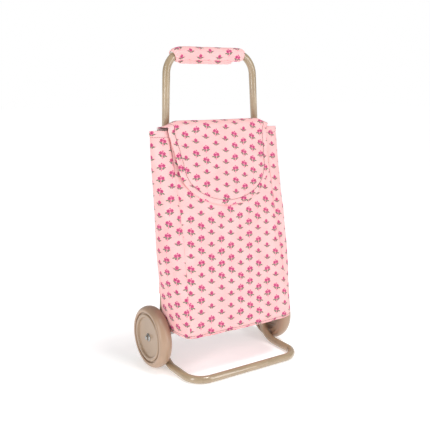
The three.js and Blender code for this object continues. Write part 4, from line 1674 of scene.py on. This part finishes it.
    def _panel(self, name: str, node: str, rises: list[float], maker: Callable, columns: int,
               flat: tuple[float, float], kind: Panel, mirrored: bool = False) -> None:
        """Makes one wall panel from its point function and works out its cloth's area, which is not used.

        Args:
            name: The piece's name.
            node: The CAD node that it stands for.
            rises: Heights of the grid's rows.
            maker: Gives across, depth and rise for a grid place.
            columns: Grid columns.
            flat: Width and length that the panel was cut to.
            kind: Which wall it is, which sets where its print starts.
            mirrored: True where its columns run left as seen from outside.
        """
        spread = self.row_spread
        shares = np.sin(np.linspace(-1, 1, columns) * math.pi / 2 * spread) / math.sin(math.pi / 2 * spread)
        plane = np.array([[maker(share, rise) for share in shares] for rise in rises])
        surface = LEGS.place(plane)
        steps = np.linalg.norm(np.diff(plane, axis=1), axis=-1)
        middle = columns // 2
        run = np.concatenate([np.zeros((len(rises), 1)), np.cumsum(steps, axis=1)], axis=1)
        run = run - run[:, middle:middle + 1]
        height = np.repeat(np.asarray(rises)[:, None], columns, axis=1)
        uvs = off_grain(run * (-1 if mirrored else 1), height, kind.value)
        outward = kind is Panel.BACK or mirrored
        piece = cloth_piece(name, surface, uvs, self.thickness, outward)
        self.wardrobe.dress(piece, Finish.PRINT, Finish.LINING)
        placed(piece, "frame", "printed_cotton", node)
        area = flat[0] * flat[1] * MM * MM
        if kind is Panel.SIDE:
            area *= self.side_area_share

    def _base_outline(self) -> Grid:
        """Edge of the base panel as across and depth, anticlockwise from the front left.

        Returns:
            Across and depth of each point.
        """
        rise = BAG.bottom
        front = [self._front_points(share, rise)[:2] for share in np.linspace(-1, 1, 61)[:-1]]
        right = [self._side_maker(1)(share, rise)[:2] for share in np.linspace(-1, 1, 31)[:-1]]
        back = [self._back_points(share, rise)[:2] for share in np.linspace(1, -1, 61)[:-1]]
        left = [self._side_maker(-1)(share, rise)[:2] for share in np.linspace(1, -1, 31)[:-1]]
        return np.array(front + right + back + left)

    def _base(self) -> None:
        """The base panel, sagging a little under its own stuffing board."""
        outline = self._base_outline()
        centre = np.array([0.0, BAG.back + BAG.depth_low / 2])
        rings = np.sin(np.linspace(0.0, 1.0, 16) * math.pi / 2)
        plane, uvs = [], []
        for ring in rings:
            flat = centre + (outline - centre) * ring
            sag = self.base_sag * (1 - ring ** 4) + 0.4
            swells = [sag - 0.6 * relief(x, y, 40.0, 51.0) * (1 - ring) for x, y in flat]
            rise = BAG.bottom - np.array(swells)
            plane.append(np.column_stack([flat, rise]))
            uvs.append(flat)
        grid = LEGS.place(np.array(plane))
        count = len(outline)
        points = np.concatenate([grid.reshape(-1, 3), (grid + [0, 0, self.thickness]).reshape(-1, 3)])
        total = len(rings) * count
        faces = grid_faces(len(rings), count, 0, False, True)
        faces += grid_faces(len(rings), count, total, True, True)
        last = (len(rings) - 1) * count
        faces += [(last + i, last + (i + 1) % count, total + last + (i + 1) % count, total + last + i)
                  for i in range(count)]
        flat_uvs = np.concatenate([np.array(uvs).reshape(-1, 2)] * 2)
        piece = tidy(mesh_object("bag_base_cloth", points, faces, flat_uvs), 1e-5)
        self.wardrobe.dress(piece, Finish.PRINT)
        placed(piece, "frame", "printed_cotton", "bag_bottom")
        self.wardrobe.dress(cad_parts["bottom_board"], Finish.BOARD)

    def _stitches(self) -> None:
        """Rows of stitches along the hem and just above the base seam."""
        lines = []
        for rise in (BAG.top - self.hem, BAG.bottom + self.stitch_above_base):
            front = [self._front_points(share, rise) for share in np.linspace(-0.995, 0.995, 90)]
            for points in (front, self._side_line(1, rise), self._side_line(-1, rise)):
                lines.append(self._lifted(np.array(points), self.stitch_stand))
        piece = self.stitcher.sew("bag_stitches", lines)
        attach(piece, "frame")

    def _side_line(self, side: int, rise: float) -> list[tuple[float, float, float]]:
        """A line of points round one side panel."""
        maker = self._side_maker(side)
        return [maker(share, rise) for share in np.linspace(-0.97, 0.97, 40)]

    def _lifted(self, plane: Grid, distance: float) -> Grid:
        """Moves a line outwards from the bag's middle and into the row frame.

        Args:
            plane: Points as across, depth and rise.
            distance: How far they move outwards.

        Returns:
            Row-frame points in millimetres.
        """
        centre = np.array([0.0, BAG.back + 10.0])
        out = plane[:, :2] - centre
        out /= np.linalg.norm(out, axis=1, keepdims=True)
        lifted = plane.copy()
        lifted[:, :2] += out * distance
        return LEGS.place(lifted)


@dataclass
class LegStraps:
    """Four cloth loops that tie the bag's back to the legs."""

    wardrobe: Wardrobe
    height: float = 40.0
    tab: float = 24.0
    slack: float = 0.6
    thickness: float = 1.3
    low: float = 147.0
    high: float = 385.0
    step: float = 1.2
    ripple: float = 0.25

    def build(self) -> None:
        """Makes the loops."""
        for side, label in ((-1, "left"), (1, "right")):
            for level, rise in (("lower", self.low), ("upper", self.high)):
                self._loop(f"{level}_{label}", side, rise)

    def _loop(self, label: str, side: int, rise: float) -> None:
        """One strap: a sewn tab, a turn round the leg and a sewn end.

        Args:
            label: Last part of the names.
            side: -1 for left and 1 for right.
            rise: Height of the loop's middle.
        """
        inner = LEGS.tube_radius + self.slack + self.thickness / 2
        seat = BAG.back - self.thickness / 2 - 0.3
        angles = np.linspace(0, math.pi, 22)
        path = [(-self.tab, seat), (-self.tab * 0.7, seat), (-inner - 3.5, seat), (-inner - 0.6, seat - 1.6)]
        path += [(-inner * math.cos(a), -inner * math.sin(a)) for a in angles]
        path += [(inner + 0.2, seat * 0.5), (inner + 0.5, seat)]
        line = resampled(np.array(path), self.step)
        spans = np.linspace(-self.height / 2, self.height / 2, 21)
        rows = []
        for span in spans:
            row = []
            for index, (x, depth) in enumerate(line):
                ripple = self.ripple * relief(index * self.step, span + rise, 14.0, 60.0 + side)
                axis = LEGS.across(rise + span)
                row.append((side * (axis + x), depth - ripple, rise + span))
            rows.append(row)
        surface = LEGS.place(np.array(rows))
        run = np.arange(len(line)) * self.step
        uvs = np.stack(np.meshgrid(run, spans + rise), axis=-1)
        piece = cloth_piece(f"leg_strap_{label}", surface, uvs, self.thickness, side > 0)
        tidy(piece)
        self.wardrobe.dress(piece, Finish.PRINT, Finish.PRINT)
        placed(piece, "frame", "printed_cotton", f"leg_loop_{label}")


# ---- Flap ----


@dataclass
class Flap:
    """The flap: one sheet from the back panel over the mouth and down the front, with a bound edge."""

    wardrobe: Wardrobe
    stitcher: Stitcher
    thickness: float = 1.3
    rear_half: float = 117.0
    fold_half: float = 105.5
    waist_half: float = 97.5
    waist: float = 62.0
    strip: float = 37.0
    length: float = 139.0
    binding: float = 11.0
    binding_low: float = 9.0
    standoff: float = 3.6
    hug: float = 9.0
    droop: float = 9.0
    lift_left: float = 7.5
    lift_right: float = 2.0
    press: float = 1.4
    groove: float = 0.8
    line_step: float = 0.5
    first_stitch: float = 14.0
    stitch_inset: float = 0.9
    stitch_height: float = 1.25
    binding_height: float = 0.62
    tape_thickness: float = 0.9
    tape_corner: float = 4.0
    profile: Grid | None = None

    def build(self) -> None:
        """Makes the sheet, its binding and its stitches."""
        self.profile = self._profile()
        self._sheet()
        self._binding()
        self._stitches()
        self._tapes()

    def _profile(self) -> Grid:
        """Middle line of the sheet as depth and rise, one point every half millimetre.

        Returns:
            Depth and rise of each point.
        """
        rear, top = BAG.back + 0.8, BAG.top + 5.0
        over = [(rear, top), (rear + 0.6, top + 5.5), (rear + 4.5, top + 10.0), (rear + 11.0, top + 10.2),
                (rear + 18.0, top + 6.5), (rear + 23.0, top + 0.5)]
        down = []
        for rise in np.linspace(BAG.top - 9, BAG.top - self.length - 14, 24):
            down.append((BAG.front_depth(0, rise) + self.standoff, rise))
        knots = np.array(over + down)
        return resampled(rounded_line(knots), self.line_step)

    def _half(self, along: float) -> float:
        """Half the sheet's width at a distance from the rear hinge line.

        Args:
            along: Distance along the middle line from the rear hinge.

        Returns:
            Half the width there.
        """
        past = along - self.strip
        if past <= 0:
            share = smooth(along / self.strip)
            return self.rear_half + (self.fold_half - self.rear_half) * share
        end = self.strip + self.length
        start = self.strip + self.waist
        if along <= start:
            share = past / self.waist
            return self.fold_half + (self.waist_half - self.fold_half) * share
        share = min((along - start) / (end - start), 1.0)
        return self.waist_half * math.sqrt(max(1 - share ** 2.1, 0.0))

    def point(self, x: float, along: float, height: float = 0.0) -> tuple[float, float, float]:
        """A place on the sheet's middle surface, or a height above it.

        Args:
            x: Distance across from the middle.
            along: Distance along the middle line from the rear hinge.
            height: Distance out from the surface.

        Returns:
            Across, depth and rise.
        """
        place = min(max(along, 0.0) / self.line_step, len(self.profile) - 1.001)
        index = int(place)
        start, end = self.profile[index], self.profile[index + 1]
        depth, rise = start + (end - start) * (place - index)
        slope = (end - start) / max(float(np.linalg.norm(end - start)), 1e-9)
        out = np.array([slope[1] * -1, slope[0]])
        past = smooth((along - self.strip * 0.45) / (self.strip * 0.75))
        side = abs(x) / 108.0
        hug = -self.hug * side * side * past
        low = (along - self.strip) / self.length
        lift = self.lift_left if x < 0 else self.lift_right
        lift *= side ** 3 * bell(low - 0.42, 0.33) * past
        press = -self.press * bell(low - 0.98, 0.16) * past
        swell = 0.8 * relief(x, along, 46.0, 71.0) * smooth(along / 20.0)
        edge = self._half(along) - abs(x)
        swell += 0.3 * math.sin(along / 4.3 + x / 6.0) * math.exp(-max(edge, 0) / 9.0)
        droop = -self.droop * smooth((abs(x) - 85.0) / 30.0) * smooth(along / 9.0) * (1 - past)
        shift = hug + lift + press
        groove = -self.groove * bell(edge - self._band(along), 1.1)
        total = height + swell + groove
        return x, depth + shift + out[0] * total, rise + droop + out[1] * total

    def _band(self, along: float) -> float:
        """Width of the bound edge, which is a little narrower round the end."""
        share = smooth((along - self.strip - self.waist) / (self.length - self.waist))
        return self.binding + (self.binding_low - self.binding) * share

    def _stations(self) -> Grid:
        """Distances along the sheet for the grid's rows, closer together towards the round end.

        Returns:
            Distances from the rear hinge.
        """
        start = self.strip + self.waist
        straight = np.linspace(1.2, start, 56)
        angles = np.linspace(0, math.pi / 2, 46)[1:]
        return np.concatenate([straight, start + (self.length - self.waist) * np.sin(angles)])

    def _sheet(self) -> None:
        """The printed sheet itself."""
        shares = np.linspace(-1, 1, 86)
        rows, uvs = [], []
        for along in self._stations():
            half = max(self._half(along), 0.5)
            rows.append([self.point(share * half, along, 0.6) for share in shares])
            uvs.append([(share * half, BAG.top - along + self.strip) for share in shares])
        surface = LEGS.place(np.array(rows)[::-1])
        flat = np.array(uvs)[::-1]
        cloth = off_grain(flat[..., 0], flat[..., 1], (9.0, 4.0))
        piece = cloth_piece("flap_cloth", surface, cloth, self.thickness)
        tidy(piece)
        self.wardrobe.dress(piece, Finish.PRINT, Finish.LINING)
        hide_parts("flap_top", "flap_front")
        self._bend(piece)

    def _bend(self, piece: bpy.types.Object) -> None:
        """Bakes the piece's placement into its mesh and leaves it without a parent.

        Args:
            piece: The piece to bake.
        """
        piece.parent = None
        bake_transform(piece)

    def _edge_line(self) -> list[tuple[float, float, float, float]]:
        """Places on the outline with the inward direction at each, from the rear left round to the right.

        Returns:
            Across and along of each place, and the inward direction's two parts.
        """
        outline = []
        for along in self._stations():
            outline.append((-self._half(along), along))
        outline = outline[:-1] + [(0.0, self.strip + self.length)]
        outline += [(-x, along) for x, along in outline[-2::-1]]
        line = resampled(np.array(outline), 2.2)
        tangent = np.gradient(line, axis=0)
        tangent /= np.linalg.norm(tangent, axis=1, keepdims=True)
        inward = np.stack([tangent[:, 1], -tangent[:, 0]], axis=1)
        return [(*place, *normal) for place, normal in zip(line, inward)]

    def _binding(self) -> None:
        """A folded strip of the same print that wraps the sheet's edge."""
        section = [(1.0, 1.0), (0.96, 1.45), (0.8, 1.6), (0.5, 1.65), (0.2, 1.6), (0.04, 1.3), (-0.06, 0.7),
                   (-0.1, 0.0), (-0.06, -0.7), (0.04, -1.2), (0.2, -1.35), (0.5, -1.35), (0.8, -1.3),
                   (0.95, -1.1), (0.96, -0.6), (0.6, -0.4), (0.3, 0.1), (0.6, 0.6)]
        rows, uvs = [], []
        for index, (x, along, nx, ny) in enumerate(self._edge_line()):
            band = self._band(along)
            row, flat = [], []
            for inset, height in section:
                px, pa = x + nx * inset * band, along + ny * inset * band
                row.append(self.point(px, pa, height * self.binding_height))
                flat.append((px + 13.0, BAG.top - pa + self.strip + 6.0))
            rows.append(row)
            uvs.append(flat)
        points = LEGS.place(np.array(rows))
        sides = len(section)
        flat_points = points.reshape(-1, 3)
        faces = grid_faces(len(rows), sides, 0, False, True)
        faces += [tuple(range(sides))[::-1], tuple(range(len(flat_points) - sides, len(flat_points)))]
        piece = tidy(mesh_object("flap_edge_binding", flat_points, faces, np.array(uvs).reshape(-1, 2)))
        self.wardrobe.dress(piece, Finish.PRINT)
        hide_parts("flap_binding")
        self._bend(piece)

    def _stitches(self) -> None:
        """One row of stitches just inside the binding's inner edge."""
        line = []
        for x, along, nx, ny in self._edge_line():
            inset = self._band(along) - self.stitch_inset
            if along >= self.first_stitch:
                line.append(self.point(x + nx * inset, along + ny * inset, self.stitch_height))
        piece = self.stitcher.sew("flap_stitches", [LEGS.place(np.array(line))])
        self._bend(piece)

    def _tapes(self) -> None:
        """The pair of fastening tapes between the flap and the bag's front."""
        self._tape("bag_loop_tape", "loop_patch", "frame", 0.95)
        self._tape("flap_hook_tape", "hook_patch", "flap_front", 1.95)

    def _tape(self, name: str, node: str, body: str, height: float) -> None:
        """One tape with rounded corners that lies along the bag's front.

        Args:
            name: The piece's name.
            node: The CAD node that it stands for.
            body: The body that it moves with.
            height: Distance of its outer face from the bag's cloth.
        """
        low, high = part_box(node)
        half, corner, steps = (high.x - low.x) / 2 / MM, self.tape_corner, 28
        middle = float(LEGS.rise_of((low + high) / 2))
        tall = (high.z - low.z) / 2 / MM
        rows = []
        for v in np.linspace(-1, 1, steps):
            over = max(abs(v) * tall - tall + corner, 0)
            trim = corner - math.sqrt(max(corner ** 2 - over ** 2, 0))
            rise = middle + v * tall
            rows.append([(u * (half - trim), BAG.front_depth(u * (half - trim), rise) + height, rise)
                         for u in np.linspace(-1, 1, steps)])
        plane = np.array(rows)
        piece = cloth_piece(name, LEGS.place(plane), plane[:, :, [0, 2]], self.tape_thickness)
        tidy(piece)
        self.wardrobe.dress(piece, Finish.TAPE, Finish.TAPE)
        placed(piece, body, "hook_and_loop", node)


def rounded_line(knots: Grid) -> Grid:
    """A smooth curve through a list of points.

    Args:
        knots: The points to pass through.

    Returns:
        Points of the curve.
    """
    fine = []
    padded = np.concatenate([[2 * knots[0] - knots[1]], knots, [2 * knots[-1] - knots[-2]]])
    for before, start, end, after in zip(padded, padded[1:], padded[2:], padded[3:]):
        for share in np.linspace(0, 1, 12)[:-1]:
            square, cube = share ** 2, share ** 3
            fine.append(0.5 * (2 * start + (end - before) * share
                               + (2 * before - 5 * start + 4 * end - after) * square
                               + (3 * start - before - 3 * end + after) * cube))
    fine.append(knots[-1])
    return np.array(fine)


# ---- Grip ----


@dataclass
class Grip:
    """The padded roll on the top bar: wadding, a printed cover and the lip where its edges meet."""

    wardrobe: Wardrobe
    stitcher: Stitcher
    left_end: float = -80.0
    right_end: float = 69.0
    radius: float = 11.6
    sag: float = 2.7
    lip_left: float = -74.0
    lip_right: float = 46.0
    lip_drop: float = 6.5
    bend: float = 40.0
    follow: float = 0.5
    seam_angle: float = -1.15
    cover_thickness: float = 1.2
    lip_thickness: float = 0.9
    wadding_inset: float = 1.5
    wadding_depth: float = 1.7

    def build(self) -> None:
        """Makes the wadding, the cover and its lip, and dresses the closure strip."""
        self._wadding()
        self._cover()
        self._lip()
        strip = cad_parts["cover_closure_strip"]
        self.wardrobe.dress(strip, Finish.TAPE)

    def _route(self, left: float, right: float) -> Grid:
        """The bar's axis between two distances from the middle, bends included.

        Args:
            left: Where the route starts.
            right: Where it ends.

        Returns:
            Row-frame points in millimetres.
        """
        straight = LEGS.handle_span / 2 - self.bend * math.tan((math.pi / 2 - LEGS.splay) / 2)
        line = []
        for x in np.linspace(left, right, 90):
            past = max(abs(x) - straight, 0.0)
            drop = self.bend - math.sqrt(max(self.bend ** 2 - past ** 2, 0.0))
            line.append((x, 0.0, LEGS.length - drop * self.follow))
        return LEGS.place(np.array(line))

    def _up(self) -> Grid:
        """The direction up the legs."""
        return LEGS.place([[0, 0, 1.0]])[0] - LEGS.place([[0, 0, 0.0]])[0]

    def _section(self, share: float, radius: float, sag: float, sides: int = 48) -> Grid:
        """Outline of the soft roll, pinched towards its ends.

        Args:
            share: Share of the roll's length.
            radius: The roll's radius.
            sag: How far it hangs below the bar's axis.
            sides: Points of the outline.

        Returns:
            Side and up offsets.
        """
        end = min(share, 1 - share)
        close = 1 - 0.2 * (1 - smooth(end / 0.045)) ** 2
        sides_at = self.seam_angle + np.arange(sides) * 2 * math.pi / sides
        outline = []
        for angle in sides_at:
            run, turn = share * 150, angle * 12
            swell = 0.45 * relief(run, turn, 22.0, 81.0) + 0.25 * relief(run, turn, 8.0, 83.0)
            reach = radius * close + swell
            low = 1 + 0.12 * max(-math.sin(angle), 0.0) ** 2
            outline.append((reach * math.cos(angle), reach * low * math.sin(angle) - sag * close))
        return np.array(outline)

    def _cover(self) -> None:
        """The printed sleeve as an open-ended tube of cloth, turned in at its ends."""
        route = self._route(self.left_end, self.right_end)
        rows, uvs = [], []
        for index, (place, side, top) in enumerate(stances(route, self._up())):
            share = index / (len(route) - 1)
            outline = self._section(share, self.radius, self.sag)
            outline = np.concatenate([outline, outline[:1]])
            rows.append(place + outline[:, :1] * side + outline[:, 1:] * top)
            turn = np.linspace(0, 2 * math.pi * self.radius, len(outline))
            uvs.append(np.stack([np.full(len(outline), place[0] + 8.0), turn + 4.0], axis=1))
        surface = np.transpose(np.array(rows), (1, 0, 2))
        flat = np.transpose(np.array(uvs), (1, 0, 2))
        piece = cloth_piece("grip_cover", surface, flat, self.cover_thickness)
        tidy(piece)
        self.wardrobe.dress(piece, Finish.PRINT, Finish.LINING)
        placed(piece, "frame", "printed_cotton", "handle_cover")

    def _wadding(self) -> None:
        """The soft sleeve under the cover."""
        route = self._route(self.left_end + self.wadding_inset, self.right_end - self.wadding_inset)

        def section(share: float) -> Grid:
            """The wadding's outline at a share of the route."""
            return self._section(share, self.radius - self.wadding_depth, self.sag, 32)

        piece = swept("grip_wadding", route, section, self._up())
        self.wardrobe.dress(piece, Finish.WADDING)
        placed(piece, "frame", "wadding", "handle_foam")

    def _lip(self) -> None:
        """The two meeting edges of the cover, lying against each other below the roll."""
        top = LEGS.length - self.sag - self.radius * 1.1 + 1.0
        for layer, name in ((1, "grip_lip_front"), (-1, "grip_lip_rear")):
            rows, uvs = [], []
            for drop in np.linspace(0, 1, 14):
                row, flat = [], []
                for share in np.linspace(0, 1, 80):
                    x = self.lip_left + (self.lip_right - self.lip_left) * share
                    fade = smooth(min(share, 1 - share) / 0.09)
                    wave = 0.5 * relief(x, 0, 26.0, 91.0 + layer)
                    depth = layer * (1.1 + 0.5 * (1 - drop)) + wave + 0.8
                    row.append((x, depth, top - drop * (self.lip_drop * (0.35 + 0.65 * fade) + wave * 0.6)))
                    flat.append((x + 6.0, -drop * self.lip_drop + 12.0))
                rows.append(row)
                uvs.append(flat)
            surface = LEGS.place(np.array(rows)[::-1])
            piece = cloth_piece(name, surface, np.array(uvs)[::-1], self.lip_thickness, layer < 0)
            self.wardrobe.dress(piece, Finish.PRINT, Finish.PRINT)
            placed(piece, "frame", "printed_cotton")


# ---- Studio ----


@dataclass
class Studio:
    """Pale floor, soft lights and the camera."""

    place: tuple[float, float, float] = (-0.66713, -0.97211, 0.51907)
    yaw: float = 33.5606
    pitch: float = 11.8528
    roll: float = 0.4673
    lens: float = 55.63
    sensor: float = 36.0
    floor_size: float = 9.0
    floor_glow: float = 0.36
    sky_light: float = 0.4
    sky_seen: float = 0.6
    sun_power: float = 1.05
    sun_angle: float = math.radians(14)
    box_wide: float = 0.4
    box_tall: float = 1.7

    def build(self) -> None:
        """Sets up the whole studio."""
        bpy.context.scene.view_settings.view_transform = "Standard"
        self._floor()
        self._world()
        self._lights()
        self._camera()

    def _floor(self) -> None:
        """A wide pale floor."""
        mesh = bpy.data.meshes.new("studio_floor")
        size = self.floor_size
        corners = [(-size, -size, 0), (size, -size, 0), (size, size, 0), (-size, size, 0)]
        mesh.from_pydata(corners, [], [(0, 1, 2, 3)])
        floor = linked("studio_floor", mesh)
        material, graph, shader = new_material("studio_floor")
        place = graph.node("ShaderNodeTexCoord").outputs["Object"]
        tone = graph.noise(place, 2.0, 2.0)
        darker, lighter = (0.93, 0.93, 0.93, 1), (0.95, 0.95, 0.95, 1)
        graph.feed(shader.inputs["Base Color"], graph.blend(tone, darker, lighter))
        preset(shader, {"Roughness": 0.8, "Specular IOR Level": 0.1})
        preset(shader, {"Emission Color": (1, 1, 1, 1), "Emission Strength": self.floor_glow})
        mesh.materials.append(material)
        floor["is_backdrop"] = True

    def _world(self) -> None:
        """White to the eye, with softer light from it."""
        world = bpy.data.worlds.new("studio")
        world.use_nodes = True
        bpy.context.scene.world = world
        graph = Graph(world.node_tree)
        background = world.node_tree.nodes["Background"]
        seen = graph.node("ShaderNodeLightPath").outputs["Is Camera Ray"]
        strength = graph.math("MULTIPLY_ADD", seen, self.sky_seen, self.sky_light)
        graph.feed(background.inputs["Strength"], strength)
        background.inputs["Color"].default_value = (1, 1, 1, 1)

    def _lights(self) -> None:
        """A sun from the upper right and two tall soft boxes."""
        sun = bpy.data.lights.new("key_sun", "SUN")
        sun.energy = self.sun_power
        sun.angle = self.sun_angle
        self._aim(sun, (0.3, -0.5, 1.5), (0, 0, 0))
        for name, place, power in (
            ("box_left", (-1.5, -0.45, 0.6), 12.0),
            ("box_right", (0.75, -1.5, 0.7), 11.0),
        ):
            light = bpy.data.lights.new(name, "AREA")
            light.shape = "RECTANGLE"
            light.size = self.box_wide
            light.size_y = self.box_tall
            light.energy = power
            self._aim(light, place, (0, 0, 0.3))

    def _aim(self, light: bpy.types.Light, place: Point, target: Point) -> None:
        """Links a light at a place, facing a target.

        Args:
            light: The light.
            place: Where it stands, in metres.
            target: The place that it faces.
        """
        lamp = linked(light.name, light)
        lamp.location = place
        lamp.rotation_euler = (Vector(target) - Vector(place)).to_track_quat("-Z", "Y").to_euler()

    def _camera(self) -> None:
        """The camera, looking a little down from the front left."""
        yaw, pitch, roll = (math.radians(value) for value in (self.yaw, self.pitch, self.roll))
        ahead = Vector((math.sin(yaw) * math.cos(pitch), math.cos(yaw) * math.cos(pitch), -math.sin(pitch)))
        right = Vector((math.cos(yaw), -math.sin(yaw), 0))
        up = right.cross(ahead)
        tilted = right * math.cos(roll) + up * math.sin(roll)
        upright = up * math.cos(roll) - right * math.sin(roll)
        data = bpy.data.cameras.new("camera")
        data.lens = self.lens
        data.sensor_width = self.sensor
        data.clip_start = 0.01
        camera = linked("camera", data)
        basis = Matrix((tilted, upright, -ahead)).transposed().to_4x4()
        camera.matrix_world = Matrix.Translation(self.place) @ basis
        bpy.context.scene.camera = camera


# ---- Whole trolley ----


def main() -> None:
    """Builds the studio and every sub-assembly in order, and reports each piece."""
    logging.basicConfig(level=logging.INFO, format="%(message)s")
    Studio().build()
    wardrobe = Wardrobe()
    stitcher = Stitcher()
    stitcher.build_tree(wardrobe.get(Finish.THREAD))
    TubeFrame(wardrobe).build()
    WheelPair(wardrobe).build()
    Bag(wardrobe, stitcher).build()
    LegStraps(wardrobe).build()
    Flap(wardrobe, stitcher).build()
    Grip(wardrobe, stitcher).build()
    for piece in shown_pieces():
        log.info("%s: %d faces", piece.name, len(piece.data.polygons))


if __name__ == "__main__":
    main()
